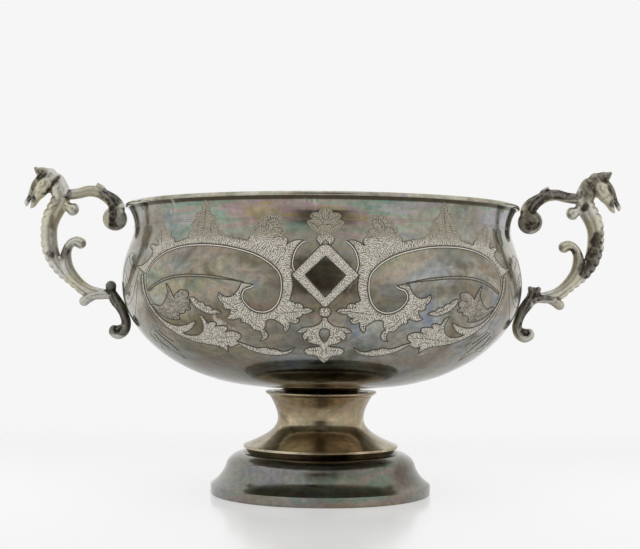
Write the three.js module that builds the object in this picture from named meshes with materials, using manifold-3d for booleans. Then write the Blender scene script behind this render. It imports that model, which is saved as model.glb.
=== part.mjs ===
// Footed silver brandy bowl with two cast horse-head scroll handles.
// Millimetres, +Z up. The origin is the centre of the foot, on the surface it stands on.
// The handles lie along X. One handle is modelled at +X and turned half way round for -X.

import * as THREE from 'three';
import { mergeVertices } from 'three/addons/utils/BufferGeometryUtils.js';
import Module from 'manifold-3d';

const wasm = await Module();
wasm.setup();

// Sheet and clearance
const SHEET = 0.9;
const SEAM = 0.3;

// Foot: a wire ring, a stepped dome on it and a waisted stem on the dome
const FOOT_WIRE_HEIGHT = 3.7;
const FOOT_WIRE_WIDTH = 3.0;
const FOOT_WIRE_ROUND = 1.0;
const DOME_HEIGHT = 14.0;
const FLARE_WIDTH = 6.1;
const SHOULDER_WIDTH = 6.8;
const STEM_HEIGHT = 20.2;
const STEM_WAIST_RADIUS = 17.1;
const STEM_TOP_FLARE = 3.4;
const STEM_FLANGE_SPREAD = 13.6;
const STEM_FLANGE_EDGE = 0.9;

// Collar and socket between the stem and the bowl
const COLLAR_HEIGHT = 1.7;
const COLLAR_EDGE = 0.7;
const COLLAR_OVERHANG = 1.6;
const SOCKET_HEIGHT = 1.6;
const SOCKET_SETBACK = 3.3;
const SOCKET_COVE = 3.9;

// Bowl, with heights measured down from the rim
const BELLY_RADIUS = 79.4;
const NECK_INSET = 4.8;
const LIP_FLARE = 3.6;
const NECK_DROP = 9.4;
const BELLY_DROP = 31;
const BOWL_DEPTH = 71.2;
const RIM_WIRE_HEIGHT = 1.6;
const RIM_WIRE_WIDTH = 2.3;

// Handles: overall height from the ears to the lowest scroll, and where the bracket meets the bowl
const HANDLE_HEIGHT = 69;
const BRACKET_STANDOFF = 3.1;
const DISC_RADIUS = 4.75;
const DISC_HALF_DEPTH = 3.4;

// Scales down the horse's back: how many, how far each stands out and where along it they
// start, the last two as shares of its half width and of its length
const SCALE_COUNT = 14;
const SCALE_HEIGHT = 0.17;
const SCALES_START = 0.2;

// Facets round each turned piece, and steps along the four curves of the bowl's profile
const BOWL_FACETS = 48;
const FOOT_FACETS = 36;
const STEM_FACETS = 32;
const DISC_FACETS = 16;
const BOWL_STEPS = [1, 7, 4, 3];

const SILVER = { color: 0xb4b3a8, roughness: 0.16, metalness: 1 };
const DARK_SILVER = { color: 0x8d897c, roughness: 0.24, metalness: 1 };
const CAST_SILVER = { color: 0xb9b6a2, roughness: 0.42, metalness: 1 };
const OXIDISED_SILVER = { color: 0x55534a, roughness: 0.38, metalness: 1 };

// Heights of the stacked pieces, from the surface up
const domeBase = FOOT_WIRE_HEIGHT + SEAM;
const stemBase = domeBase + DOME_HEIGHT + SEAM;
const collarBase = stemBase + STEM_HEIGHT + SEAM;
const socketBase = collarBase + COLLAR_HEIGHT + SEAM;
const bowlBase = socketBase + SOCKET_HEIGHT + SEAM;
const rimHeight = bowlBase + BOWL_DEPTH;

// Radii that follow from one another, from the waist out
const flangeRadius = STEM_WAIST_RADIUS + STEM_FLANGE_SPREAD;
const shoulderRadius = flangeRadius + SHOULDER_WIDTH;
const footRadius = shoulderRadius + FLARE_WIDTH;
const stemTopRadius = STEM_WAIST_RADIUS + STEM_TOP_FLARE;
const collarRadius = stemTopRadius + COLLAR_OVERHANG;
const socketRadius = collarRadius - SOCKET_SETBACK;
const neckRadius = BELLY_RADIUS - NECK_INSET;
const lipRadius = neckRadius + LIP_FLARE;

function toSolid(geometry) {
  const bare = geometry.clone();
  bare.deleteAttribute('normal');
  bare.deleteAttribute('uv');
  const merged = mergeVertices(bare, 1e-4);
  return new wasm.Manifold(new wasm.Mesh({
    numProp: 3,
    vertProperties: new Float32Array(merged.attributes.position.array),
    triVerts: new Uint32Array(merged.index.array),
  }));
}

function toGeometry(solid) {
  const mesh = solid.getMesh();
  const geometry = new THREE.BufferGeometry();
  geometry.setAttribute('position', new THREE.BufferAttribute(mesh.vertProperties, 3));
  geometry.setIndex(new THREE.BufferAttribute(mesh.triVerts, 1));
  geometry.computeVertexNormals();
  return geometry;
}

function unite(geometries) {
  return geometries.map(toSolid).reduce((whole, piece) => whole.add(piece));
}

function turned(profile, facets) {
  const geometry = new THREE.LatheGeometry(profile, facets);
  geometry.rotateX(Math.PI / 2);
  return geometry;
}

// Moves an open profile sideways, to the left of its direction, by a distance
function offsetProfile(points, distance) {
  return points.map((point, index) => {
    const before = points[Math.max(index - 1, 0)];
    const after = points[Math.min(index + 1, points.length - 1)];
    const along = after.clone().sub(before).normalize();
    return new THREE.Vector2(point.x - along.y * distance, point.y + along.x * distance);
  });
}

// Outer face of the bowl from its flat base up to the seat of the rim wire
function bowlOuterProfile() {
  const bellyHeight = rimHeight - BELLY_DROP;
  const neckHeight = rimHeight - NECK_DROP;
  const lowerHeight = bellyHeight - bowlBase;
  const upperHeight = neckHeight - bellyHeight;
  const lipHeight = rimHeight - RIM_WIRE_HEIGHT - SEAM;
  const path = new THREE.Path();
  path.moveTo(0, bowlBase);
  path.lineTo(BELLY_RADIUS * 0.29, bowlBase);
  path.bezierCurveTo(
    BELLY_RADIUS * 0.655, bowlBase,
    BELLY_RADIUS, bowlBase + lowerHeight * 0.468,
    BELLY_RADIUS, bellyHeight,
  );
  path.bezierCurveTo(
    BELLY_RADIUS, bellyHeight + upperHeight * 0.48,
    neckRadius, neckHeight - upperHeight * 0.2,
    neckRadius, neckHeight,
  );
  path.quadraticCurveTo(
    neckRadius, neckHeight + NECK_DROP * 0.45,
    lipRadius - LIP_FLARE * 0.35, lipHeight,
  );
  return path;
}

const bowlOuter = bowlOuterProfile();

// Points along a path, with a number of steps for each of its curves
function sampled(path, steps) {
  const points = path.curves.flatMap((curve, index) => curve.getPoints(steps[index]).slice(1));
  return [path.curves[0].getPoint(0), ...points];
}

// Radius of the bowl's outer face at a height above its base
function bowlRadiusAt(height) {
  const points = bowlOuter.getPoints(40);
  const above = points.findIndex((point) => point.y > height);
  const low = points[above - 1];
  const high = points[above];
  return THREE.MathUtils.mapLinear(height, low.y, high.y, low.x, high.x);
}

function bowlShell() {
  const outer = sampled(bowlOuter, BOWL_STEPS);
  const inner = offsetProfile(outer, SHEET);
  inner[0].x = 0;
  inner[inner.length - 1].y = outer[outer.length - 1].y;
  return turned([...outer, ...inner.reverse()], BOWL_FACETS);
}

// Everything inside the bowl's outer face and rim wire, swollen by the seam, to cut the handles
function bowlKeepOut() {
  const face = offsetProfile(sampled(bowlOuter, BOWL_STEPS), -SEAM);
  face[0].x = 0;
  const wire = lipRadius + SEAM;
  const wireBase = rimHeight - RIM_WIRE_HEIGHT;
  return toSolid(turned([
    ...face,
    new THREE.Vector2(wire, wireBase),
    new THREE.Vector2(wire, rimHeight + SEAM),
    new THREE.Vector2(0, rimHeight + SEAM),
  ], BOWL_FACETS));
}

function rimWire() {
  const base = rimHeight - RIM_WIRE_HEIGHT;
  const inside = lipRadius - RIM_WIRE_WIDTH;
  const half = RIM_WIRE_HEIGHT / 2;
  const section = new THREE.Path();
  section.moveTo(inside, base);
  section.lineTo(lipRadius - half * 0.6, base);
  section.lineTo(lipRadius, base + half * 0.6);
  section.quadraticCurveTo(lipRadius, rimHeight, lipRadius - half, rimHeight);
  section.quadraticCurveTo(inside, rimHeight, inside, base);
  return turned(section.getPoints(2), BOWL_FACETS);
}

function socket() {
  const top = socketBase + SOCKET_HEIGHT;
  const neck = socketRadius - SOCKET_COVE;
  const path = new THREE.Path();
  path.moveTo(0, socketBase);
  path.lineTo(socketRadius, socketBase);
  path.quadraticCurveTo(neck, socketBase, neck, top);
  path.lineTo(0, top);
  return turned(path.getPoints(3), STEM_FACETS);
}

function collar() {
  const top = collarBase + COLLAR_HEIGHT;
  return turned([
    new THREE.Vector2(0, collarBase),
    new THREE.Vector2(stemTopRadius, collarBase),
    new THREE.Vector2(collarRadius, top - COLLAR_EDGE),
    new THREE.Vector2(collarRadius, top),
    new THREE.Vector2(0, top),
  ], STEM_FACETS);
}

function stem() {
  const waistHeight = stemBase + STEM_HEIGHT * 0.57;
  const path = new THREE.Path();
  path.moveTo(flangeRadius, stemBase);
  path.lineTo(flangeRadius, stemBase + STEM_FLANGE_EDGE);
  path.bezierCurveTo(
    flangeRadius - STEM_FLANGE_SPREAD * 0.68, stemBase + STEM_HEIGHT * 0.22,
    STEM_WAIST_RADIUS, waistHeight - STEM_HEIGHT * 0.2,
    STEM_WAIST_RADIUS, waistHeight,
  );
  path.bezierCurveTo(
    STEM_WAIST_RADIUS, waistHeight + STEM_HEIGHT * 0.16,
    stemTopRadius - STEM_TOP_FLARE * 0.4, collarBase - SEAM - STEM_HEIGHT * 0.1,
    stemTopRadius, collarBase - SEAM,
  );
  const outer = path.getPoints(4);
  const inner = offsetProfile(outer.slice(2), SHEET);
  inner[0] = new THREE.Vector2(inner[0].x, stemBase);
  inner[inner.length - 1].y = collarBase - SEAM;
  return turned([...outer, ...inner.reverse(), outer[0]], STEM_FACETS);
}

function footDome() {
  const top = domeBase + DOME_HEIGHT;
  const cove = SHOULDER_WIDTH * 0.22;
  const path = new THREE.Path();
  path.moveTo(footRadius, domeBase);
  path.lineTo(footRadius - FLARE_WIDTH * 0.1, domeBase + SHEET * 0.6);
  path.quadraticCurveTo(
    shoulderRadius + FLARE_WIDTH * 0.22, domeBase + DOME_HEIGHT * 0.24,
    shoulderRadius, domeBase + DOME_HEIGHT * 0.55,
  );
  path.quadraticCurveTo(
    shoulderRadius - SHOULDER_WIDTH * 0.12, domeBase + DOME_HEIGHT * 0.78,
    flangeRadius + cove, domeBase + DOME_HEIGHT * 0.88,
  );
  path.quadraticCurveTo(flangeRadius, domeBase + DOME_HEIGHT * 0.88, flangeRadius - cove, top);
  path.lineTo(STEM_WAIST_RADIUS, top);
  const outer = path.getPoints(3);
  const inner = offsetProfile(outer, SHEET);
  inner[0] = new THREE.Vector2(footRadius - FOOT_WIRE_WIDTH * 0.5, domeBase);
  inner[inner.length - 1].x = STEM_WAIST_RADIUS;
  return turned([...outer, ...inner.reverse(), outer[0]], FOOT_FACETS);
}

function footWire() {
  const inside = footRadius - FOOT_WIRE_WIDTH;
  const path = new THREE.Path();
  path.moveTo(inside, 0);
  path.lineTo(footRadius - FOOT_WIRE_ROUND * 0.4, 0);
  path.lineTo(footRadius, FOOT_WIRE_ROUND * 0.4);
  path.lineTo(footRadius, FOOT_WIRE_HEIGHT - FOOT_WIRE_ROUND);
  path.quadraticCurveTo(
    footRadius, FOOT_WIRE_HEIGHT,
    footRadius - FOOT_WIRE_ROUND, FOOT_WIRE_HEIGHT,
  );
  path.lineTo(inside, FOOT_WIRE_HEIGHT);
  path.lineTo(inside, 0);
  return turned(path.getPoints(3), FOOT_FACETS);
}

// The handle castings are drawn on a pattern grid. A point is [reach, rise]: reach out from
// the lip and rise from the rim, with PATTERN_HEIGHT units from the ears to the lowest scroll.
// The upright of the grid leans so that it passes the lip and stands off the bowl at the bracket.
const PATTERN_HEIGHT = 69;
const PATTERN_BRACKET_DROP = 45;
const unit = HANDLE_HEIGHT / PATTERN_HEIGHT;
const bracketHeight = rimHeight - PATTERN_BRACKET_DROP * unit;
const bracketRadius = bowlRadiusAt(bracketHeight) + BRACKET_STANDOFF * unit;

function onPattern(reach, rise, depth = 0) {
  const fall = -rise / PATTERN_BRACKET_DROP;
  const upright = THREE.MathUtils.lerp(lipRadius, bracketRadius, fall);
  return new THREE.Vector3(upright + reach * unit, depth * unit, rimHeight + rise * unit);
}

// One limb of a casting: an oval section that swells and tapers along a smooth line.
// Each station is [reach, rise, half width in the handle's plane, half depth across it].
function limb(stations, { sides = 10, steps = 12, swell = 0, depth = 0, lean = 0, scales = 0 } = {}) {
  const line = new THREE.CatmullRomCurve3(stations.map(([reach, rise], index) => {
    const share = index / (stations.length - 1);
    return onPattern(reach, rise, depth + lean * share);
  }));
  const girth = new THREE.CatmullRomCurve3(
    stations.map(([, , width, thick]) => new THREE.Vector3(width * unit, thick * unit, 0)),
    false, 'catmullrom', 0.5,
  );
  const rings = [];
  const addRing = (share, shrink, push) => {
    const along = line.getTangent(share);
    const centre = line.getPoint(share).addScaledVector(along, push);
    const { x: width, y: thick } = girth.getPoint(share);
    const across = new THREE.Vector3(along.z, 0, -along.x).normalize();
    const scaled = scales > 0 && share > SCALES_START;
    const tooth = scaled ? SCALE_HEIGHT * Math.abs(1 - 2 * ((share * scales) % 1)) : 0;
    rings.push(Array.from({ length: sides }, (_, side) => {
      const angle = (side / sides) * Math.PI * 2;
      const outward = Math.max(0, -Math.cos(angle));
      const half = width * (1 + tooth * outward) + swell;
      return centre.clone()
        .addScaledVector(across, Math.cos(angle) * half * shrink)
        .add(new THREE.Vector3(0, Math.sin(angle) * (thick + swell) * shrink, 0));
    }));
  };
  const rounding = [0.85, 0.5];
  const startGirth = girth.getPoint(0).x + swell;
  const endGirth = girth.getPoint(1).x + swell;
  rounding.forEach((share) => addRing(0, Math.sqrt(1 - share * share), -share * startGirth));
  for (let step = 0; step <= steps; step += 1) addRing(step / steps, 1, 0);
  [...rounding].reverse()
    .forEach((share) => addRing(1, Math.sqrt(1 - share * share), share * endGirth));
  const first = line.getPoint(0).addScaledVector(line.getTangent(0), -startGirth);
  const last = line.getPoint(1).addScaledVector(line.getTangent(1), endGirth);
  return skin(rings, first, last);
}

// Closes a row of rings into one body, with a pole at each end
function skin(rings, first, last) {
  const sides = rings[0].length;
  const points = [first, ...rings.flat(), last];
  const faces = [];
  for (let side = 0; side < sides; side += 1) {
    const next = (side + 1) % sides;
    faces.push(0, 1 + next, 1 + side);
    for (let ring = 0; ring < rings.length - 1; ring += 1) {
      const here = 1 + ring * sides;
      const there = here + sides;
      faces.push(here + side, here + next, there + next);
      faces.push(here + side, there + next, there + side);
    }
    const end = 1 + (rings.length - 1) * sides;
    faces.push(end + side, end + next, points.length - 1);
  }
  const geometry = new THREE.BufferGeometry().setFromPoints(points);
  geometry.setIndex(faces);
  return geometry;
}

const BRACKET_HUG = [
  [6.0, -32.2, 1.9, 2.5],
  [6.0, -34.7, 2.2, 3.0],
  [4.4, -37.6, 2.3, 3.4],
  [2.2, -40.6, 2.1, 3.8],
  [0.7, -43.8, 1.8, 3.9],
  [-0.1, -47.0, 1.9, 3.6],
  [0.7, -49.9, 2.1, 3.4],
  [2.8, -51.4, 2.1, 3.2],
  [4.6, -50.6, 2.1, 3.2],
  [4.7, -49.8, 2.0, 3.0],
];
const BRACKET_SPUR = [
  [5.6, -35.6, 1.6, 2.6],
  [9.0, -35.9, 1.35, 2.6],
  [12.4, -36.2, 1.3, 2.7],
  [15.0, -37.2, 1.6, 2.8],
  [16.6, -38.6, 1.5, 2.4],
];
const BRACKET_CURL = [
  [4.2, -49.9, 1.9, 2.9],
  [2.4, -49.2, 1.6, 2.7],
];
const HORSE_BACK = [
  [28.8, 9.0, 3.9, 3.0],
  [26.9, 5.0, 3.9, 3.5],
  [27.2, 1.4, 3.9, 3.7],
  [28.8, -1.8, 3.8, 3.7],
  [30.3, -4.8, 3.7, 3.6],
  [31.2, -8.6, 3.4, 3.5],
  [31.3, -12.6, 3.35, 3.5],
  [30.9, -16.6, 3.35, 3.4],
  [29.7, -20.6, 3.1, 3.2],
  [27.7, -24.3, 2.7, 2.9],
  [25.1, -27.6, 2.2, 2.6],
  [22.2, -30.4, 1.8, 2.3],
  [19.6, -32.7, 1.3, 1.8],
  [18.2, -34.0, 0.8, 1.2],
];
const HORSE_HEAD = [
  [31.0, 12.2, 2.6, 2.4],
  [33.0, 9.2, 4.2, 3.5],
  [35.2, 6.6, 4.0, 3.4],
  [37.2, 3.8, 3.0, 2.7],
  [38.5, 1.4, 2.6, 2.3],
  [38.9, 0.9, 2.4, 2.1],
];
const HORSE_EAR = [
  [32.6, 10.8, 1.9, 1.3],
  [34.6, 12.8, 1.7, 1.1],
  [36.6, 14.6, 0.5, 0.5],
];
const HORSE_MANE = [
  [25.2, 5.8, 0.9, 1.5],
  [25.7, 7.5, 1.4, 1.7],
  [28.0, 9.9, 1.5, 1.8],
  [31.0, 12.4, 1.7, 1.9],
  [34.0, 13.6, 1.6, 1.6],
];
const HORSE_CHEST = [
  [26.4, -0.4, 1.9, 2.9],
  [23.8, -0.7, 1.9, 2.8],
  [21.9, -1.7, 2.3, 2.7],
];
const MOUTH = [
  [37.5, 4.2],
  [39.0, -1.6],
  [40.9, -1.2],
];
const THUMB_SCROLL = [
  [18.6, -15.2, 2.3, 2.8],
  [20.3, -14.5, 2.0, 2.8],
  [22.4, -15.4, 1.8, 2.8],
  [23.8, -17.7, 1.9, 2.9],
  [24.4, -21.0, 2.3, 3.0],
  [23.8, -25.0, 2.6, 3.0],
  [21.6, -28.6, 2.5, 2.8],
  [18.2, -31.7, 2.0, 2.5],
  [14.6, -33.6, 1.3, 2.0],
  [11.4, -34.1, 0.8, 1.5],
];
const RIM_ARM = [
  [25.6, 4.4, 1.7, 1.9],
  [22.8, 4.3, 2.1, 2.7],
  [19.2, 4.8, 2.1, 2.8],
  [15.6, 5.7, 2.2, 2.9],
  [12.0, 5.4, 2.3, 3.0],
  [9.2, 4.3, 2.5, 3.1],
  [6.4, 2.3, 2.8, 3.2],
  [4.2, -0.6, 3.1, 3.2],
  [3.8, -3.8, 2.6, 3.0],
];
const ARM_LEAF = [
  [10.0, 6.2, 1.6, 1.8],
  [11.6, 8.0, 1.0, 1.2],
  [12.4, 9.1, 0.3, 0.4],
];
const DISC_CENTRE = [4.9, -5.3];

// A wedge of the handle's plane, cut right through it
function wedge(corners) {
  const shape = new THREE.Shape(corners.map(([reach, rise]) => {
    const { x, z } = onPattern(reach, rise);
    return new THREE.Vector2(x, z);
  }));
  const width = 2 * HANDLE_HEIGHT;
  const geometry = new THREE.ExtrudeGeometry(shape, { depth: width, bevelEnabled: false });
  geometry.rotateX(Math.PI / 2);
  geometry.translate(0, width / 2, 0);
  return geometry;
}

// The round eye of the upper scroll, turned across the handle, with a sunk ring and a boss
function scrollDisc(swell) {
  const radius = (DISC_RADIUS + swell) * unit;
  const half = (DISC_HALF_DEPTH + swell) * unit;
  const face = [
    [0, 1],
    [0.22, 0.94],
    [0.4, 0.66],
    [0.62, 0.7],
    [0.82, 0.88],
    [1, 0.5],
  ];
  const front = face.map(([out, up]) => new THREE.Vector2(out * radius, -up * half));
  const back = face.map(([out, up]) => new THREE.Vector2(out * radius, up * half)).reverse();
  const geometry = new THREE.LatheGeometry([...front, ...back], DISC_FACETS);
  const [reach, rise] = DISC_CENTRE;
  const centre = onPattern(reach, rise);
  geometry.translate(centre.x, centre.y, centre.z);
  return geometry;
}

function bracketSolid(swell) {
  return unite([
    limb(BRACKET_HUG, { steps: 17, swell }),
    limb(BRACKET_SPUR, { steps: 7, swell }),
    limb(BRACKET_CURL, { steps: 2, sides: 8, swell }),
  ]);
}

function horseSolid(swell) {
  const body = unite([
    limb(HORSE_BACK, { steps: 2 * SCALE_COUNT, swell, scales: SCALE_COUNT }),
    limb(HORSE_HEAD, { steps: 7, swell }),
    limb(HORSE_MANE, { steps: 6, sides: 8, swell }),
    limb(HORSE_CHEST, { steps: 3, sides: 8, swell }),
    limb(HORSE_EAR, { steps: 3, sides: 6, swell, depth: 1.2, lean: 0.8 }),
    limb(HORSE_EAR, { steps: 3, sides: 6, swell, depth: -1.2, lean: -0.8 }),
  ]);
  return body.subtract(toSolid(wedge(MOUTH)));
}

function thumbScrollSolid(swell) {
  return toSolid(limb(THUMB_SCROLL, { steps: 15, swell }));
}

function rimArmSolid(swell) {
  return unite([
    limb(RIM_ARM, { steps: 12, swell }),
    limb(ARM_LEAF, { steps: 3, sides: 6, swell }),
    scrollDisc(swell),
  ]);
}

// The four castings of one handle, each cut clear of what it is soldered to
function handleCastings() {
  const bowl = bowlKeepOut();
  const bracket = bracketSolid(0).subtract(bowl);
  const bracketGap = bracketSolid(SEAM);
  const horse = horseSolid(0).subtract(bracketGap);
  const horseGap = horseSolid(SEAM);
  const thumb = thumbScrollSolid(0).subtract(bracketGap).subtract(horseGap);
  const arm = rimArmSolid(0).subtract(bowl).subtract(horseGap);
  return { bracket, horse, thumb, arm };
}

function mesh(name, geometry, finish) {
  const piece = new THREE.Mesh(geometry, new THREE.MeshStandardMaterial(finish));
  piece.name = name;
  return piece;
}

function handle(side, castings, turn) {
  const group = new THREE.Group();
  group.rotation.z = turn;
  group.add(
    mesh(`${side}_bowl_bracket`, toGeometry(castings.bracket), OXIDISED_SILVER),
    mesh(`${side}_horse_body`, toGeometry(castings.horse), CAST_SILVER),
    mesh(`${side}_thumb_scroll`, toGeometry(castings.thumb), CAST_SILVER),
    mesh(`${side}_rim_arm`, toGeometry(castings.arm), OXIDISED_SILVER),
  );
  return group;
}

const castings = handleCastings();
const brandyBowl = new THREE.Group();
brandyBowl.add(
  mesh('foot_wire', footWire(), DARK_SILVER),
  mesh('foot_dome', footDome(), DARK_SILVER),
  mesh('stem', stem(), SILVER),
  mesh('collar_disc', collar(), SILVER),
  mesh('bowl_socket', socket(), SILVER),
  mesh('bowl_shell', bowlShell(), SILVER),
  mesh('rim_wire', rimWire(), SILVER),
  handle('right', castings, 0),
  handle('left', castings, Math.PI),
);

export default brandyBowl;
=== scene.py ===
# Footed silver brandy bowl with cast horse-head handles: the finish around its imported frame.
# Pieces are drawn in millimetres, +Z up, with the bowl's axis on Z, and made metres at the end.

import math

import bpy
import numpy as np
from mathutils import Matrix, Vector
from mathutils.geometry import delaunay_2d_cdt

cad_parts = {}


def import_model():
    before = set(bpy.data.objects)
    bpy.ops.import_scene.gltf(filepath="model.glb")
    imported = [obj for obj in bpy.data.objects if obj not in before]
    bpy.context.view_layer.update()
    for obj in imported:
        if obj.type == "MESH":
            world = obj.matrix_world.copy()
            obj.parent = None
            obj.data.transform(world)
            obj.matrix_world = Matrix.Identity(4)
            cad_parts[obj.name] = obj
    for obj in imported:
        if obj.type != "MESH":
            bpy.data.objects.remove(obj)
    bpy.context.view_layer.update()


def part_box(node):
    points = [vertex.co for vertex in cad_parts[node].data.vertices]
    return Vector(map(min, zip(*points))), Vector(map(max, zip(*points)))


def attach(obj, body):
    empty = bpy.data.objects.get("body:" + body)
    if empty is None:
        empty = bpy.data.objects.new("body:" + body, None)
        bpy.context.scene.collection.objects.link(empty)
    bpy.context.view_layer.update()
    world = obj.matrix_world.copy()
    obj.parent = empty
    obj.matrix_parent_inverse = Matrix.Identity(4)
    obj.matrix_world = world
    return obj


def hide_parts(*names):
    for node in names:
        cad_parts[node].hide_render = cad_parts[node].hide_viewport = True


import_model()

MM = 0.001


# Sizes read from the frame
def top_of(node):
    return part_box(node)[1].z / MM


def foot_of(node):
    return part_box(node)[0].z / MM


def radius_of(node):
    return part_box(node)[1].y / MM


RIM = top_of("rim_wire")
LIP = radius_of("rim_wire")
BELLY = radius_of("bowl_shell")
BOWL_BASE = foot_of("bowl_shell")
FOOT = radius_of("foot_wire")

# Sheet and the shape of the bowl, with drops measured down from the rim
SHEET = 0.9
NECK_INSET = 4.8
NECK_DROP = 9.4
BELLY_DROP = 31.0
LIP_FLARE = 3.6
WIRE_HEIGHT = 1.6
WIRE_WIDTH = 2.3

# The bowl's skin lies this much inside its solid, to leave room for the engraving's relief
ENGRAVING_ROOM = 0.15

# Shape of the foot and the stem
FOOT_WIRE_WIDTH = 3.0
FOOT_WIRE_EDGE = 0.4
FLARE_WIDTH = 6.1
SHOULDER_WIDTH = 6.8
STEM_WAIST = 17.1
STEM_TOP_FLARE = 3.4
STEM_FLANGE_SPREAD = 13.6
STEM_FLANGE_EDGE = 0.9
COLLAR_EDGE = 0.7
SOCKET_COVE = 3.9
FOOT_WIRE_CORNER = 0.35

# Where the curves of the profiles turn, and how far they are pulled, as shares of the widths
# and heights that they span
BASE_SHARE = 0.29
BOWL_LOW_PULL = (0.655, 0.468)
BOWL_HIGH_PULL = 0.48
NECK_LOW_PULL = 0.2
NECK_HIGH_PULL = 0.45
LIP_INSET = 0.35
WIRE_BULGE = 0.6
WAIST_HEIGHT = 0.57
STEM_LOW_PULL = (0.68, 0.22)
WAIST_PULLS = (0.2, 0.16)
STEM_TOP_PULL = (0.4, 0.1)
BEND_HEIGHT = 0.55
STEP_HEIGHT = 0.88
STEP_COVE = 0.22
FOOT_EDGE = (0.1, 0.6)
FLARE_PULL = (0.22, 0.24)
SHOULDER_PULL = (0.12, 0.78)

# The stem's inner wall leaves out this many points of the outline, those of its flange
FLANGE_POINTS = 8

# Corners that turn by more than this angle are rounded, over no more than a share of the
# lines that meet there
CORNER = 0.22
SHARPEST_TURN = 28.0
CORNER_REACH = 0.45

# A point nearer to the axis than this is a pole of the turned piece
TURNED_SEGMENTS = 256
ON_AXIS = 1e-4

# Camera as it stood for the photograph, and the view's picture width
CAMERA_BACK = 546.8
CAMERA_HEIGHT = 73.8
CAMERA_TILT = 1.38
CAMERA_PAN = 0.084
CAMERA_ROLL = 0.5
CAMERA_NEAREST = 10
PICTURE_WIDTH = 640
FOCAL_PIXELS = 1367
SENSOR = 36.0


# Curves in the plane

def line(*points):
    return [Vector(point) for point in points]


# A Bezier curve from its first point to its last, pulled by those between. It leaves its first
# point out, so that lines and curves add up to a profile.
def curve(*pulls, steps=14):
    points = []
    for step in range(1, steps + 1):
        row = np.array(pulls, float)
        while len(row) > 1:
            row = row[:-1] + (row[1:] - row[:-1]) * (step / steps)
        points.append(Vector(row[0]))
    return points


# Moves an open profile to the left of its direction by a distance
def offset(points, distance):
    moved = []
    for before, point, after in zip(points[:1] + points, points, points[1:] + points[-1:]):
        along = (after - before).normalized()
        moved.append(Vector((point.x - along.y * distance, point.y + along.x * distance)))
    return moved


# Rounds the sharp corners of a profile
def eased(points, radius=CORNER):
    result = [points[0]]
    for before, corner, after in zip(points, points[1:], points[2:]):
        into = corner - before
        out = after - corner
        same_place = into.length < 1e-6 or out.length < 1e-6
        if same_place or math.degrees(into.angle(out)) < SHARPEST_TURN:
            result.append(corner)
            continue
        cut = min(radius, into.length * CORNER_REACH, out.length * CORNER_REACH)
        start = corner - into.normalized() * cut
        end = corner + out.normalized() * cut
        result += [start] + curve(start, corner, end, steps=4)
    return result + [points[-1]]


# A smooth line through points of any dimension, as many steps between each two as asked
def through(points, steps):
    rows = np.array(points, float)
    rows = np.vstack([2 * rows[0] - rows[1], rows, 2 * rows[-1] - rows[-2]])
    result = []
    for p0, p1, p2, p3 in zip(rows, rows[1:], rows[2:], rows[3:]):
        for t in np.arange(steps) / steps:
            result.append(0.5 * (
                2 * p1 + (p2 - p0) * t
                + (2 * p0 - 5 * p1 + 4 * p2 - p3) * t * t
                + (3 * p1 - p0 - 3 * p2 + p3) * t ** 3
            ))
    return np.array(result + [rows[-2]])


# The unit direction of a line at each of its points
def along_line(points):
    way = np.gradient(points, axis=0)
    return way / np.linalg.norm(way, axis=1)[:, None]


# Meshes

def linked(name, data):
    piece = bpy.data.objects.new(name, data)
    bpy.context.scene.collection.objects.link(piece)
    return piece


def new_object(name, verts, faces, smooth_angle=40.0):
    mesh = bpy.data.meshes.new(name)
    mesh.from_pydata([tuple(vert) for vert in verts], [], faces)
    mesh.validate()
    mesh.update()
    mesh.polygons.foreach_set("use_smooth", [True] * len(mesh.polygons))
    mesh.set_sharp_from_angle(angle=math.radians(smooth_angle))
    return linked(name, mesh)


# Keeps what the modifiers of a piece make as its plain mesh
def apply_modifiers(piece):
    graph = bpy.context.evaluated_depsgraph_get()
    mesh = bpy.data.meshes.new_from_object(piece.evaluated_get(graph))
    piece.modifiers.clear()
    old = piece.data
    piece.data = mesh
    bpy.data.meshes.remove(old)


# Faces from each ring of vertices to the next one. A ring of one vertex is a pole.
def faces_between(rings):
    faces = []
    for low, high in zip(rings, rings[1:]):
        for side in range(max(len(low), len(high))):
            below = [low[place % len(low)] for place in (side, side + 1)]
            above = [high[place % len(high)] for place in (side + 1, side)]
            faces.append(tuple(dict.fromkeys(below + above)))
    return faces


# Turns a profile of [radius, height] points about Z. A profile starts and ends on the axis,
# or closes on itself. It runs so that the solid lies on its left.
def turned(name, profile):
    closed = profile[0].x > ON_AXIS
    if closed and (profile[0] - profile[-1]).length < 1e-6:
        profile = profile[:-1]
    verts = []
    rings = []
    for point in profile:
        sides = TURNED_SEGMENTS if point.x > ON_AXIS else 1
        rings.append(range(len(verts), len(verts) + sides))
        for side in range(sides):
            angle = 2 * math.pi * side / sides
            verts.append((point.x * math.cos(angle), point.x * math.sin(angle), point.y))
    if closed:
        rings.append(rings[0])
    return new_object(name, verts, faces_between(rings))


# Puts a finished piece, drawn in millimetres, in the frame in place of its solids
def seat(piece, material, slot, *nodes):
    piece.data.transform(Matrix.Scale(MM, 4))
    piece.data.materials.clear()
    piece.data.materials.append(material)
    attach(piece, "root")
    if nodes:
        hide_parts(*nodes)


# Node trees

# Gives a socket a value, a colour of three shares, another socket or a node's first output
def feed(tree, socket, value):
    if isinstance(value, bpy.types.Node):
        value = value.outputs[0]
    if isinstance(value, bpy.types.NodeSocket):
        tree.links.new(value, socket)
    elif socket.type == "RGBA":
        socket.default_value = (*value, 1.0)
    else:
        socket.default_value = value


def add_node(tree, kind, inputs, **settings):
    node = tree.nodes.new(kind)
    for name, value in settings.items():
        setattr(node, name, value)
    for socket, value in inputs.items():
        feed(tree, node.inputs[socket], value)
    return node


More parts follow.
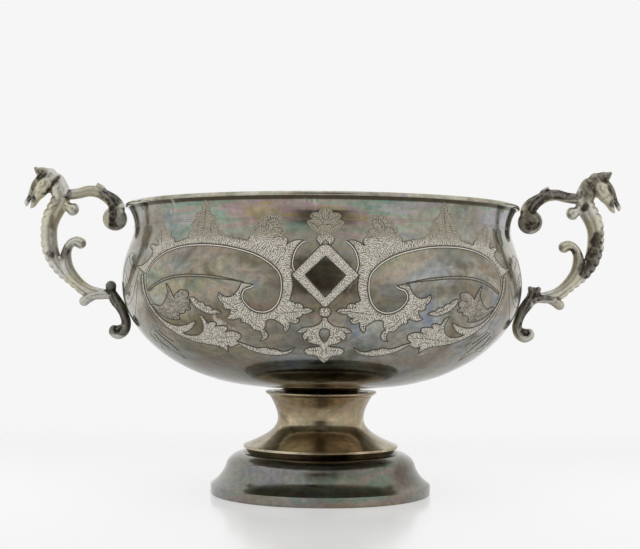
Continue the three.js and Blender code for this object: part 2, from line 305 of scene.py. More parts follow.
class Finish:
    """A procedural material: short names for the nodes that it is made of."""

    def __init__(self, name, metallic, roughness):
        self.material = bpy.data.materials.new(name)
        self.material.use_nodes = True
        self.tree = self.material.node_tree
        self.shader = self.tree.nodes["Principled BSDF"]
        self.paint({"Metallic": metallic, "Roughness": roughness})
        self.place = self.node("ShaderNodeTexCoord", {}).outputs["Object"]

    def node(self, kind, inputs, **settings):
        return add_node(self.tree, kind, inputs, **settings)

    def paint(self, inputs):
        for socket, value in inputs.items():
            feed(self.tree, self.shader.inputs[socket], value)

    def cloud(self, scale, detail=4.0, stretch=(1, 1, 1), distortion=0.0, rough=0.5):
        place = self.node("ShaderNodeMapping", {"Vector": self.place, "Scale": stretch})
        return self.node("ShaderNodeTexNoise", {
            "Vector": place, "Scale": scale, "Detail": detail, "Roughness": rough, "Distortion": distortion,
        }).outputs["Fac"]

    # Moves a value from one span to another, and holds it there
    def span(self, value, low, high, to_low=0.0, to_high=1.0):
        inputs = {"Value": value, "From Min": low, "From Max": high, "To Min": to_low, "To Max": to_high}
        return self.node("ShaderNodeMapRange", inputs, interpolation_type="SMOOTHSTEP").outputs["Result"]

    def worked_out(self, operation, *values):
        return self.node("ShaderNodeMath", dict(enumerate(values)), operation=operation).outputs["Value"]

    def total(self, first, second):
        return self.worked_out("ADD", first, second)

    def product(self, first, second):
        return self.worked_out("MULTIPLY", first, second)

    def ramp(self, value, stops):
        node = self.node("ShaderNodeValToRGB", {"Fac": value})
        elements = node.color_ramp.elements
        while len(elements) < len(stops):
            elements.new(0.5)
        for element, (position, colour) in zip(elements, stops):
            element.position = position
            element.color = (*colour, 1.0)
        return node.outputs["Color"]

    def mix(self, share, first, second, blend="MIX"):
        inputs = {0: share, 6: first, 7: second}
        return self.node("ShaderNodeMix", inputs, data_type="RGBA", blend_type=blend).outputs[2]

    def tinted(self, colour, tint, share=1.0):
        return self.mix(share, colour, tint, blend="MULTIPLY")

    def along(self, axis):
        return self.node("ShaderNodeSeparateXYZ", {"Vector": self.place}).outputs[axis]

    def grey(self, value):
        return self.node("ShaderNodeCombineColor", {place: value for place in range(3)}).outputs["Color"]

    def stored(self, name):
        return self.node("ShaderNodeAttribute", {}, attribute_name=name).outputs["Fac"]

    def bump(self, height, strength, distance):
        inputs = {"Strength": strength, "Distance": distance, "Height": height}
        self.paint({"Normal": self.node("ShaderNodeBump", inputs).outputs["Normal"]})


# Materials

# Colours of a film of tarnish as it gets thicker
FILM_COLOURS = [
    (0.34, (0.30, 0.33, 0.40)), (0.42, (0.40, 0.38, 0.36)), (0.46, (0.22, 0.36, 0.28)),
    (0.50, (0.38, 0.35, 0.28)), (0.55, (0.42, 0.30, 0.33)), (0.60, (0.44, 0.36, 0.17)),
    (0.67, (0.26, 0.35, 0.37)),
]

# Tints of the metal, in small blots and in larger patches
BLOT_TINTS = [
    (0.34, (0.88, 0.92, 1.06)), (0.42, (1.18, 1.16, 1.10)), (0.49, (0.88, 0.88, 0.84)),
    (0.55, (1.10, 1.00, 0.90)), (0.61, (0.80, 0.84, 0.78)), (0.68, (0.62, 0.56, 0.45)),
]
PATCH_TINTS = [
    (0.36, (0.84, 0.90, 1.02)), (0.43, (1.06, 1.05, 1.02)), (0.48, (1.06, 0.92, 0.89)),
    (0.53, (0.94, 0.97, 0.95)), (0.58, (1.01, 0.96, 0.78)), (0.65, (0.80, 0.92, 0.89)),
]

# Painted shade: the bowl's underside darkens over these heights, where less of the table's light reaches it
SHADE_FROM = 70
SHADE_TO = 46
PAINTED_UNDERSIDE_SHADE = (0.06, 0.05, 0.03)

# Painted shade below the lip: its depths below the rim, from none at its lower side to none
# at its upper side
LIP_SHADE_DEPTHS = (3.0, 2.5, 1.7, 1.2)
LIP_SHADE_COLOUR = (0.08, 0.066, 0.045)
SCUFF_COLOUR = (0.72, 0.70, 0.62)


# Polished silver under a film of tarnish, which starts at one height and is full at another.
# It shows blue, green, rose and amber where it is thin. Painted shade darkens the underside,
# and a band below a lip.
def tarnished_silver(
    name, clean, brown, film_from, film_to, film_share, underside_shade_share=1.0, lip=None, haze=0.05, scuffs=0.6,
):
    finish = Finish(name, metallic=1.0, roughness=0.1)
    height = finish.along("Z")
    cloud = finish.cloud(30.0, detail=7.0, stretch=(1, 1, 1.8), distortion=0.6, rough=0.6)
    streak = finish.cloud(14.0, detail=6.0, stretch=(1, 1, 7), distortion=0.6, rough=0.6)
    blot = finish.cloud(48.0, stretch=(1, 1, 1.3), distortion=0.9)
    patch = finish.cloud(27.0, detail=3.0, stretch=(1, 1, 1.7), distortion=0.8)
    fine = finish.cloud(420.0, detail=5.0, rough=0.7)
    metal = finish.mix(finish.span(cloud, 0.36, 0.64), clean, brown)
    metal = finish.tinted(metal, finish.ramp(blot, BLOT_TINTS))
    metal = finish.tinted(metal, finish.ramp(patch, PATCH_TINTS), film_share)
    reached = finish.product(finish.span(height, film_from * MM, film_to * MM), film_share)
    thick = finish.span(finish.cloud(19.0, distortion=0.8), 0.40, 0.60, 0.30, 1.0)
    colour = finish.mix(finish.product(reached, thick), metal, finish.ramp(streak, FILM_COLOURS))
    # Painted shade, darker towards the bottom of the underside
    low = finish.span(height, SHADE_TO * MM, SHADE_FROM * MM, 1.0 - underside_shade_share, 0.0)
    colour = finish.mix(low, colour, finish.tinted(colour, PAINTED_UNDERSIDE_SHADE))
    # A band of painted shade below the lip
    if lip:
        heights = [(lip - depth) * MM for depth in LIP_SHADE_DEPTHS]
        above = finish.span(height, *heights[:2])
        below = finish.span(height, *heights[2:], 1.0, 0.0)
        colour = finish.mix(finish.product(above, below), colour, LIP_SHADE_COLOUR)
    colour = finish.tinted(colour, finish.grey(finish.span(fine, 0.30, 0.70, 0.80, 1.14)))
    scratch = finish.cloud(85.0, detail=5.0, stretch=(1, 1, 0.45), rough=0.55)
    blur = finish.span(cloud, 0.35, 0.65, haze, haze + 0.09)
    finish.paint({
        "Base Color": finish.mix(finish.span(scratch, 0.67, 0.72, 0.0, scuffs), colour, SCUFF_COLOUR),
        "Roughness": finish.total(blur, finish.span(fine, 0.3, 0.7, 0.0, 0.07)),
    })
    finish.bump(finish.cloud(38.0, detail=3.0), 0.10, 0.0006)
    return finish.material


TONE_AND_SHADE_BROWN = (0.165, 0.14, 0.103)
STAIN_GLINT = (0.26, 0.235, 0.18)
RUBBED_SILVER = (0.76, 0.75, 0.70)
LIGHT_SHEEN = (0.55, 0.53, 0.47)
STAIN_SHEEN = (0.2, 0.19, 0.17)

# What makes a casting's stain and painted shade: its blotches, the stains and painted shade placed
# on it and its hollows. It starts at one sum of these and is full at another.
BLOTCH_WEIGHT = 2.8
STAIN_WEIGHT = 1.05
HOLLOW_WEIGHT = 0.12
STAIN_FROM = 1.52
STAIN_FULL = 2.42


# Cast silver with a dull pale skin, brown to black and dull where it is stained and where painted
# shade lies, and bright where it is rubbed
def cast_silver(name, pale, warm, dark, darkness):
    finish = Finish(name, metallic=0.85, roughness=0.34)
    blotch = finish.cloud(260.0, detail=9.0, rough=0.62, distortion=0.5)
    grain = finish.cloud(700.0, rough=0.65)
    glint = finish.span(finish.cloud(430.0, detail=6.0, rough=0.7), 0.50, 0.60, 0.0, 0.75)
    hollow = finish.stored("hollow")
    placed = finish.product(finish.stored("stain_and_shade"), STAIN_WEIGHT)
    stain_and_shade = finish.total(finish.product(blotch, BLOTCH_WEIGHT), placed)
    stain_and_shade = finish.total(stain_and_shade, finish.product(hollow, HOLLOW_WEIGHT))
    share = finish.span(stain_and_shade, STAIN_FROM - darkness, STAIN_FULL - darkness)
    # A soft brown tone, partly painted shade, where the skin asks for it
    film = finish.total(finish.stored("film"), finish.product(blotch, 0.5))
    light = finish.mix(finish.span(finish.cloud(75.0), 0.42, 0.58), pale, warm)
    light = finish.mix(finish.span(film, 0.35, 1.05, 0.0, 0.9), light, TONE_AND_SHADE_BROWN)
    base = finish.mix(share, light, finish.mix(glint, dark, STAIN_GLINT))
    base = finish.mix(finish.span(hollow, -0.6, -0.15, 0.22, 0.0), base, RUBBED_SILVER)
    finish.paint({
        "Base Color": finish.tinted(base, finish.grey(finish.span(grain, 0.3, 0.7, 0.88, 1.08))),
        "Metallic": finish.span(share, 0.0, 1.0, 0.85, 0.25),
        "Roughness": finish.span(share, 0.0, 1.0, 0.36, 0.5),
        "Specular Tint": finish.mix(share, LIGHT_SHEEN, STAIN_SHEEN),
        "Specular IOR Level": 0.3,
    })
    finish.bump(grain, 0.2, 0.0002)
    return finish.material


BOWL_SILVER = tarnished_silver(
    "bowl_silver", (0.385, 0.38, 0.345), (0.205, 0.186, 0.143), 86, 104, 0.9, underside_shade_share=0.55, lip=RIM,
)
INSIDE_SILVER = tarnished_silver("inside_silver", (0.42, 0.41, 0.36), (0.30, 0.27, 0.22), 84, 104, 0.3)
RIM_SILVER = tarnished_silver("rim_silver", (0.64, 0.63, 0.57), (0.42, 0.39, 0.31), 84, 104, 0.3)
STEM_SILVER = tarnished_silver(
    "stem_silver", (0.52, 0.46, 0.335), (0.27, 0.215, 0.135), 24, 60, 0.35, haze=0.12, scuffs=0.3,
)
FOOT_SILVER = tarnished_silver(
    "foot_silver", (0.215, 0.21, 0.19), (0.10, 0.09, 0.074), -25, 5, 0.45, haze=0.08, scuffs=0.0,
)
PALE_CASTING = cast_silver("pale_casting", (0.66, 0.65, 0.58), (0.64, 0.60, 0.45), (0.055, 0.044, 0.032), 0.0)
DARK_CASTING = cast_silver(
    "oxidised_casting", (0.56, 0.55, 0.49), (0.46, 0.42, 0.31), (0.04, 0.032, 0.023), 0.08,
)

# The leaves' tips are only lightly cut, so the engraving is duller above these heights
FADE_FROM = 96
FADE_TO = 100


# The engraver's fill: frosted by fine cuts, so that it scatters the light and looks pale
def frosted_silver(name, pale, dark, low, high, faded=None):
    finish = Finish(name, metallic=0.05, roughness=0.5)
    grain = finish.cloud(1300.0, detail=3.0, rough=0.7)
    level = finish.total(finish.product(grain, 0.6), finish.product(finish.cloud(240.0, rough=0.6), 0.4))
    if faded:
        pale = finish.mix(finish.span(finish.along("Z"), FADE_FROM * MM, FADE_TO * MM), pale, faded)
    finish.paint({"Base Color": finish.mix(finish.span(level, low, high), pale, dark)})
    finish.bump(grain, 0.4, 0.0001)
    return finish.material


FROSTED_SILVER = frosted_silver(
    "frosted_silver", (0.43, 0.39, 0.30), (0.16, 0.135, 0.095), 0.50, 0.63, faded=(0.32, 0.29, 0.22),
)
BRIGHT_CUT_SILVER = frosted_silver(
    "bright_cut_silver", (1.0, 0.965, 0.87), (0.86, 0.82, 0.71), 0.54, 0.66, faded=(0.62, 0.57, 0.45),
)
OUTLINE_SILVER = frosted_silver(
    "outline_silver", (0.060, 0.052, 0.038), (0.06, 0.05, 0.04), 0.56, 0.66, faded=(0.42, 0.38, 0.29),
)
FRAME_SILVER = frosted_silver("frame_silver", (0.54, 0.495, 0.40), (0.18, 0.15, 0.105), 0.52, 0.66)
DULL_SILVER = frosted_silver("dull_silver", (0.50, 0.46, 0.365), (0.14, 0.12, 0.09), 0.40, 0.60)
CUT_SILVER = frosted_silver("cut_silver", (0.060, 0.052, 0.038), (0.02, 0.018, 0.013), 0.40, 0.60)
GREY_CUT_SILVER = frosted_silver("grey_cut_silver", (0.30, 0.29, 0.26), (0.12, 0.11, 0.09), 0.40, 0.60)


# The turned pieces, from the bowl down

def bowl_profile():
    belly_height = RIM - BELLY_DROP
    neck_height = RIM - NECK_DROP
    lower = belly_height - BOWL_BASE
    upper = neck_height - belly_height
    middle = (0, BOWL_BASE)
    base = (BELLY * BASE_SHARE, BOWL_BASE)
    belly = (BELLY - ENGRAVING_ROOM, belly_height)
    neck = (BELLY - NECK_INSET, neck_height)
    lip = (LIP - LIP_FLARE * LIP_INSET, RIM - WIRE_HEIGHT)
    low_pull = (BELLY * BOWL_LOW_PULL[0], BOWL_BASE)
    below_belly = (belly[0], BOWL_BASE + lower * BOWL_LOW_PULL[1])
    above_belly = (belly[0], belly_height + upper * BOWL_HIGH_PULL)
    below_neck = (neck[0], neck_height - upper * NECK_LOW_PULL)
    above_neck = (neck[0], neck_height + NECK_DROP * NECK_HIGH_PULL)
    return (
        line(middle, base)
        + curve(base, low_pull, below_belly, belly, steps=48)
        + curve(belly, above_belly, below_neck, neck, steps=30)
        + curve(neck, above_neck, lip)
    )


def bowl_shell():
    outer = bowl_profile()
    inner = offset(outer, SHEET)
    inner[0].x = 0
    inner[-1].y = outer[-1].y
    shell = turned("bowl_body", outer + inner[::-1])
    seat(shell, BOWL_SILVER, "bowl_silver", "bowl_shell")
    shell.data.materials.append(INSIDE_SILVER)
    outside_faces = (len(outer) - 1) * TURNED_SEGMENTS
    for polygon in shell.data.polygons[outside_faces:]:
        polygon.material_index = 1


def rim_wire():
    base = RIM - WIRE_HEIGHT
    half = WIRE_HEIGHT / 2
    inside = (LIP - WIRE_WIDTH, base)
    outside = (LIP, base + half * WIRE_BULGE)
    crest = (LIP - half, RIM)
    section = (
        line(inside, (LIP - half * WIRE_BULGE, base), outside)
        + curve(outside, (LIP, RIM), crest, steps=10)
        + curve(crest, (inside[0], RIM), inside, steps=10)
    )
    seat(turned("rim_band", eased(section)), RIM_SILVER, "bowl_silver", "rim_wire")


def socket_ring():
    base = foot_of("bowl_socket")
    top = top_of("bowl_socket")
    radius = radius_of("bowl_socket")
    edge = (radius, base)
    neck = radius - SOCKET_COVE
    section = line((0, base), edge) + curve(edge, (neck, base), (neck, top)) + line((0, top))
    seat(turned("socket_ring", eased(section)), STEM_SILVER, "stem_silver", "bowl_socket")


def collar():
    base = foot_of("collar_disc")
    top = top_of("collar_disc")
    radius = radius_of("collar_disc")
    section = line(
        (0, base), (STEM_WAIST + STEM_TOP_FLARE, base), (radius, top - COLLAR_EDGE), (radius, top), (0, top),
    )
    seat(turned("collar", eased(section)), STEM_SILVER, "stem_silver", "collar_disc")


def stem():
    base = foot_of("stem")
    top = foot_of("collar_disc")
    height = top_of("stem") - base
    foot = (STEM_WAIST + STEM_FLANGE_SPREAD, base)
    rise = (foot[0], base + STEM_FLANGE_EDGE)
    waist = (STEM_WAIST, base + height * WAIST_HEIGHT)
    head = (STEM_WAIST + STEM_TOP_FLARE, top)
    low_pull = (foot[0] - STEM_FLANGE_SPREAD * STEM_LOW_PULL[0], base + height * STEM_LOW_PULL[1])
    below_waist = (STEM_WAIST, waist[1] - height * WAIST_PULLS[0])
    above_waist = (STEM_WAIST, waist[1] + height * WAIST_PULLS[1])
    top_pull = (head[0] - STEM_TOP_FLARE * STEM_TOP_PULL[0], top - height * STEM_TOP_PULL[1])
    outer = (
        line(foot, rise)
        + curve(rise, low_pull, below_waist, waist, steps=36)
        + curve(waist, above_waist, top_pull, head, steps=24)
    )
    inner = offset(outer[FLANGE_POINTS:], SHEET)
    inner[0] = Vector((inner[0].x, base))
    inner[-1].y = top
    seat(turned("stem_body", eased(outer + inner[::-1])), STEM_SILVER, "stem_silver", "stem")


def foot_dome():
    base = foot_of("foot_dome")
    top = foot_of("stem")
    height = top_of("foot_dome") - base
    flange = STEM_WAIST + STEM_FLANGE_SPREAD
    shoulder = flange + SHOULDER_WIDTH
    cove = SHOULDER_WIDTH * STEP_COVE
    edge = (FOOT - FLARE_WIDTH * FOOT_EDGE[0], base + SHEET * FOOT_EDGE[1])
    bend = (shoulder, base + height * BEND_HEIGHT)
    step = (flange + cove, base + height * STEP_HEIGHT)
    flare_pull = (shoulder + FLARE_WIDTH * FLARE_PULL[0], base + height * FLARE_PULL[1])
    shoulder_pull = (shoulder - SHOULDER_WIDTH * SHOULDER_PULL[0], base + height * SHOULDER_PULL[1])
    outer = (
        line((FOOT, base), edge)
        + curve(edge, flare_pull, bend, steps=18)
        + curve(bend, shoulder_pull, step, steps=18)
        + curve(step, (flange, step[1]), (flange - cove, top), steps=12)
        + line((STEM_WAIST, top))
    )
    inner = offset(outer, SHEET)
    inner[0] = Vector((FOOT - FOOT_WIRE_WIDTH * 0.5, base))
    inner[-1].x = STEM_WAIST
    seat(turned("foot_dome_body", eased(outer + inner[::-1])), FOOT_SILVER, "foot_silver", "foot_dome")


def foot_wire():
    top = foot_of("foot_dome")
    inside = FOOT - FOOT_WIRE_WIDTH
    edge = FOOT_WIRE_EDGE
    section = line((FOOT, top), (inside, top), (inside, 0), (FOOT - edge, 0), (FOOT, edge), (FOOT, top))
    seat(turned("foot_band", eased(section, FOOT_WIRE_CORNER)), FOOT_SILVER, "foot_silver", "foot_wire")


# The engraved ornament. It is drawn on a plane that touches the front of the bowl, in
# millimetres to the left of its middle line and up from the table, as seen from the camera,
# and thrown from there onto the bowl. What is drawn is the left half, which is then mirrored.

# The drawing's middle line lies a little to the right, and its frame is widest at this height
DRAWING_MIDDLE = 1.15
FRAME_HEIGHT = 84.9

# Steps along a stroke, and heights of a fill's face and root above the bowl's skin
STROKE_STEP = 0.5
FILL_RELIEF = 0.05
FILL_ROOT = -0.12

# A fill is cut into nearly equal triangles: their side, and a row's height as a share of it
FILL_SPACING = 1.7
ROW_RATIO = 0.87

# The bowl's slope is taken over this height to both sides
SLOPE_STEP = 0.2

# A sight line is searched from just before the drawing's plane, a share of the way to it
SEARCH_FROM = 0.9
SEARCH_STEPS = 40

# Half widths of the engraved lines, and the distances of the lines beside an edge
OUTLINE = 0.21
DOUBLE_LINE = 0.11
BRIGHT_LINE = 0.17
FINE_LINE = 0.09
BRIGHT_GAP = 0.45
DOUBLE_GAP = 0.80
WIRE_SIDES = 6

# A rope keeps its width until its last quarter, and narrows there to a share of it
ROPE_HALF_WIDTH = 0.42
ROPE_QUARTERS = 4
ROPE_END = 0.2

# The graver's cuts. They may run a little over the outline, and the smallest are a share of
# the largest.
OUTLINE_OVERLAP = 0.1
HATCH_DENSITY = 30.0
HATCH_SPACING = 0.62
HATCH_LENGTH = 1.05
HATCH_WIDTH = 0.28
SHORTEST = 0.55
NARROWEST = 0.6
CUT_HEIGHTS = (0.04, 0.08)

# Depth of each ring round the neck below the lip, the radius of its line, and the degrees
# between its points
NECK_RINGS = {"upper": (9.0, 0.07), "lower": (9.6, 0.09)}
NECK_STEP = 1.25


# The strokes of a drawing. Each is a smooth line, which starts where the one before it ended,
# so its row leaves that point out. Strokes meet at corners.
def drawn(start, *rows):
    strokes = []
    for row in rows:
        strokes.append([start, *row])
        start = row[-1]
    return strokes


DIAMOND_OUTSIDE = drawn((0, 96.8), [(11.7, 84.9)], [(0, 73.4)])
DIAMOND_INSIDE = drawn((0, 91.4), [(7, 84.9)], [(0, 77.3)])

CROWN = drawn(
    (0, 107.7),
    [(1.2, 107.5), (2.1, 106.9), (2.3, 106.1)],
    [(3.4, 106.2), (4.6, 105.9), (5.3, 105.2)],
    [(4.7, 104.4), (4.2, 103.6)],
    [(5.3, 103.6), (6.4, 103.1)],
    [(5.3, 101.7), (4.2, 100.4), (2.8, 99.6), (1.6, 98.9)],
    [(2.8, 98.2), (3.1, 97), (2.5, 95.9), (1.7, 95)],
    [(0, 95.6)],
)

BALL = drawn((0, 74), [(1.2, 73.8), (2, 73), (2, 71.7), (1.3, 70.7), (0, 70.3)])

PALMETTE = drawn(
    (0, 70.8),
    [(0.9, 70.6)],
    [(1.2, 69.2), (2.6, 67.9), (4.6, 67.2), (6.8, 67), (8.4, 66.5), (9.6, 65.3)],
    [(8.2, 65), (7, 65.2), (6.4, 65.7)],
    [(7.4, 64.9), (7.6, 63.7), (7, 62.5)],
    [(6.2, 63), (5.6, 63.1)],
    [(5.9, 62.2), (4.8, 61.6), (3.4, 61.3), (2.2, 61), (1.5, 60.6)],
    [(3.2, 60.3), (5.2, 60.1), (7, 59.3), (6.6, 58.1), (5.2, 57.5), (3.5, 57.4)],
    [(2.5, 57), (2.2, 56.3), (1.2, 55.5), (0, 54.8)],
)

PALMETTE_EYE = drawn((0, 66.7), [(1.3, 66.3), (1.9, 65.1), (1.6, 63.8), (0.8, 62.4), (0, 61.9)])

SMALL_LEAF = drawn(
    (64.6, 87.6),
    [(62.8, 87.7), (61, 89), (59.4, 91)],
    [(59, 92.6), (59.9, 94), (59.2, 95), (57.7, 94.5)],
    [(57.1, 95.4), (58, 97), (57.3, 98.2), (56.6, 98.7)],
    [(56.9, 100.4), (56.1, 102.5)],
    [(55.2, 101.2), (54.6, 99.6)],
    [(53.4, 99.6), (52.9, 98.4), (53.1, 97.5)],
    [(52.1, 97.2), (51.4, 95.7)],
)

TALL_LEAF = drawn(
    (51.4, 95.7),
    [(50, 96.1), (48.4, 96.8), (46.9, 97.2)],
    [(47, 98.6), (46.3, 99.8), (45.4, 100.3)],
    [(46.1, 101.6), (45.4, 103), (44.4, 103.6)],
    [(44.6, 105.2), (43.5, 106.2), (42.6, 106.5)],
    [(42.3, 108.6), (41, 110.3)],
    [(40.2, 108.8), (39.9, 107), (39, 105.3)],
    [(38.2, 104.6), (37.6, 103.3), (38.1, 102.5)],
    [(36.9, 102), (36.6, 100.9), (37.2, 100)],
    [(36, 99.7), (34.9, 98.8), (34, 97.9)],
)

SHELL = drawn(
    (34, 97.9),
    [(32, 97.6), (29.4, 97.1), (26.6, 96.5)],
    [(26.2, 97.8), (25.4, 98.8), (24.2, 99)],
    [(25, 100.3), (24.4, 101.5), (23.3, 101.8)],
    [(23.8, 102.8), (22.9, 103.6), (22, 102.9)],
    [(21.2, 104.4), (19.4, 105.5), (17.3, 105.7), (15.5, 104.9), (14.7, 103.4), (15.4, 102)],
    [(14.2, 101.2), (13.8, 99.9), (14.6, 98.3)],
    [(13.4, 97.7), (12.9, 96.5), (13.4, 95.1)],
)

SPIKE = drawn(
    (13.4, 95.1),
    [(12.4, 95.9), (10.8, 96.7), (9.2, 97), (7.3, 96.8)],
    [(8.6, 95.9), (9.9, 94.5), (10.9, 92.7), (11.5, 90.6), (11.7, 88.6), (11.4, 87), (10.9, 85.9)],
)

SIDE_BAND = drawn((10.9, 85.9), [(11.6, 84.8)], [(11.2, 83), (11.1, 81), (11.4, 78.8), (12.1, 76.4)])

THREE_POINT_LEAF = drawn(
    (12.1, 76.4),
    [(11.5, 75.8), (10.6, 75.6), (10.2, 74.9)],
    [(9.4, 75.3), (8.2, 75), (7.4, 74.2), (7.6, 73.4)],
    [(6.4, 73.7), (5, 73.4), (3.7, 72.6)],
    [(5, 72), (6.4, 71.5), (7.7, 71.4)],
    [(8, 70.6), (9.2, 70.2), (9.9, 70.1)],
    [(8.7, 69.6), (9.2, 68.5), (10.4, 68.2), (12, 68.7)],
    [(12.1, 67), (12.6, 66), (13.4, 65.1)],
    [(14.1, 66), (14.2, 67.4), (15.2, 68.2)],
    [(16.4, 69), (17.8, 69.5), (19.2, 69.5), (20.2, 68.8)],
)

HANGING_LEAF = drawn(
    (20.2, 68.8),
    [(20.2, 67.6), (20.8, 66.3)],
    [(19.9, 65.4), (19.3, 64.3), (19.7, 63.2), (20.8, 62.5), (22.1, 62.2)],
    [(21.5, 63.3), (21.6, 64.5), (22.3, 65.7)],
    [(23.6, 65.7), (24.8, 66.4), (25.5, 67.5)],
    [(26.4, 68), (27.4, 68.4), (28.8, 68.6), (28.4, 69.6)],
    [(29.4, 69.9), (30.6, 69.5), (32, 69.3), (34, 70)],
    [(33, 70.7), (32.5, 71.9), (32.2, 73)],
    [(33.6, 72.9), (34.8, 73.5), (34.9, 74.8)],
    [(36, 75.7), (36.7, 77.2), (36.4, 78.7)],
)

CURL = drawn(
    (36.4, 78.7),
    [(35.4, 77.8), (34.2, 77.3), (32.9, 77.2), (31.6, 77.8), (30.4, 79), (29.4, 80.6), (28.7, 82.1)],
    [(26.8, 81.9), (24.7, 81.5)],
    [(25.8, 80.8), (27.2, 80.4), (28.2, 79.5), (28.8, 78), (28.6, 76.4), (27.6, 74.8), (26, 73.2),
     (24.2, 72.2), (22.3, 71.7), (20.3, 71.7), (18.4, 72.4), (17, 73.5), (15.8, 75.1), (15, 77.2),
     (14.6, 79.6), (14.6, 82), (14.9, 84.2), (15.7, 86), (17.1, 87.6), (19, 89.3), (21.4, 90.8),
     (24, 92.1), (27.2, 93.2), (30.8, 94.1), (34.4, 94.8), (38, 95.2), (42, 95.3), (46, 95.1),
     (50, 94.4), (53, 93.4), (55.4, 92.2), (57.6, 90.6), (59.4, 88.6), (60.6, 86.6), (61.2, 84.8)],
    [(62.6, 85.6), (64.6, 87.6)],
)

SCROLL = SMALL_LEAF + TALL_LEAF + SHELL + SPIKE + SIDE_BAND + THREE_POINT_LEAF + HANGING_LEAF + CURL

MAIN_STEM = drawn(
    (62.2, 84.6),
    [(61.9, 80.6), (61, 77.2), (59.6, 74.4), (57.2, 71), (54.4, 68.6), (51.6, 67.4), (49.4, 67.2),
     (47.4, 67.6), (45.8, 68.3), (44.3, 68.9)],
    [(44.5, 67.8), (45.4, 66.4), (46.8, 65.3), (48.6, 64.7)],
    [(46.8, 64.1), (45, 63.9), (43.3, 64)],
)

ACANTHUS = drawn(
    (43.3, 64),
    [(42, 65.2), (41.5, 66.8), (41.8, 68.4), (42.5, 69.8), (43.4, 71)],
    [(42, 70.6), (41, 69.4), (40, 68)],
    [(39.2, 68.5), (37.9, 68.6), (37, 68), (37.6, 66.9)],
    [(36.4, 67.3), (34.8, 67.3), (33.4, 66.9), (33.4, 65.7), (34.3, 65)],
    [(33, 65.5), (31.4, 65.5), (29.8, 65.1), (28.7, 64.2), (28.8, 63), (30.2, 62)],
)

TAIL = drawn(
    (30.2, 62),
    [(28, 61.4), (26, 60.7), (24, 60), (22.6, 59.7)],
    [(21.4, 60), (19.8, 60), (18.4, 59.4)],
    [(17.2, 59.5), (15.8, 59), (14.4, 58.7), (12.8, 58.9), (11.4, 59.5), (10.2, 60.3)],
    [(10.9, 59), (12.4, 58), (14.4, 57.5), (17, 57.3), (20, 57.6), (22.4, 58.1), (25, 58.9), (27.4, 60),
     (29.4, 61.2)],
    [(30.8, 60.4), (32.2, 59.9)],
    [(32.6, 60.4), (33.2, 60.7)],
    [(33, 59.4), (32.8, 58.2)],
    [(34.4, 59.5), (36.6, 60.4), (39, 60.8), (42, 61.3), (45, 62), (48.5, 63.4), (51.5, 65),
     (54.5, 67.2), (57.5, 70.2), (60, 73.6), (61.6, 77), (62.6, 80.6), (62.9, 84.6)],
    [(62.2, 84.6)],
)

LEAFY_STEM = MAIN_STEM + ACANTHUS + TAIL

FEATHER = drawn(
    (46.4, 76.9),
    [(45.2, 77), (44, 76.3), (43.2, 75.3)],
    [(42.4, 75.4), (41.4, 74.8), (40.8, 73.9)],
    [(39.8, 74.1), (38.9, 73.6), (38.3, 72.8)],
    [(37.4, 72.9), (36.4, 72.4), (35.4, 71.7)],
    [(37, 71.3), (38.8, 71.2), (40.6, 71.6), (42.4, 72.4), (44, 73.4), (45.4, 74.8), (46.4, 76.9)],
)

FLOWER = drawn(
    (54.5, 81.7),
    [(53.4, 80.2), (52.6, 78.6), (51.8, 76.9)],
    [(51, 78.3), (49.8, 79.3), (48.4, 79.4), (47, 78.9), (46.8, 77.6), (47.4, 76.4)],
    [(46.4, 75.8), (46.4, 74.5), (47.2, 74)],
    [(45.9, 73.2), (46.6, 72.4), (47.7, 72.7)],
    [(48, 71.5), (49.3, 71.3), (49.9, 70.4), (49.6, 69.3)],
    [(51.8, 69.2), (54.4, 70.1), (57, 71.8), (59.4, 74.2)],
    [(58.2, 74.5), (56.6, 73.9), (55.4, 74.7), (54.5, 76.5), (54, 79), (54.5, 81.7)],
)

ROSETTE = drawn(
    (59.4, 66.2),
    [(58.2, 67), (56.6, 66.3), (55, 65.1), (53.6, 64.1)],
    [(52.2, 64.3), (51, 63.2), (51.1, 62.1)],
    [(50, 61.8), (49.2, 60.6), (49.8, 59.5)],
    [(49, 57.6), (47.3, 55.9)],
    [(49.6, 57.2), (51.6, 58.5), (53.6, 59.2)],
    [(54.9, 59.2), (55.8, 60.4), (56, 61.2)],
    [(57.6, 61.9), (58.4, 63.2), (59.6, 64.2), (59.4, 66.2)],
)

SIDE_LEAF = drawn(
    (66, 92.2),
    [(65.2, 90.4), (65, 88.4), (63.6, 86.4)],
    [(64.4, 83.4), (65.2, 80), (65.8, 77), (66.6, 74.8), (67.4, 74.2)],
    [(68.4, 75.6), (69, 79), (69.1, 83), (68.6, 87), (67.6, 90.4), (66, 92.2)],
)

ROPE = [
    (60.4, 79.2), (58.6, 80.9), (56.6, 82.2), (54.4, 83.2), (52, 83.9), (49, 84.3), (46, 84.4),
    (42, 84.3), (38, 83.9), (34, 83.4), (31, 82.9), (28, 82.3),
]

LONG_STEMS = [
    [(60.2, 76), (58.4, 74.4)],
    [(61.2, 84.4), (61.2, 81), (60.4, 78), (59, 75.4), (57.6, 74.2)],
    [(63.3, 84), (63, 80), (62, 76.4), (60.4, 72.8), (58.6, 69.4), (57.2, 67)],
    [(64.2, 82.4), (64.4, 79), (64.6, 75), (64.9, 71), (65.3, 69)],
    [(59.4, 72.9), (56.6, 69.6), (53.6, 67.4), (50.4, 65.8), (47.2, 64.8)],
]

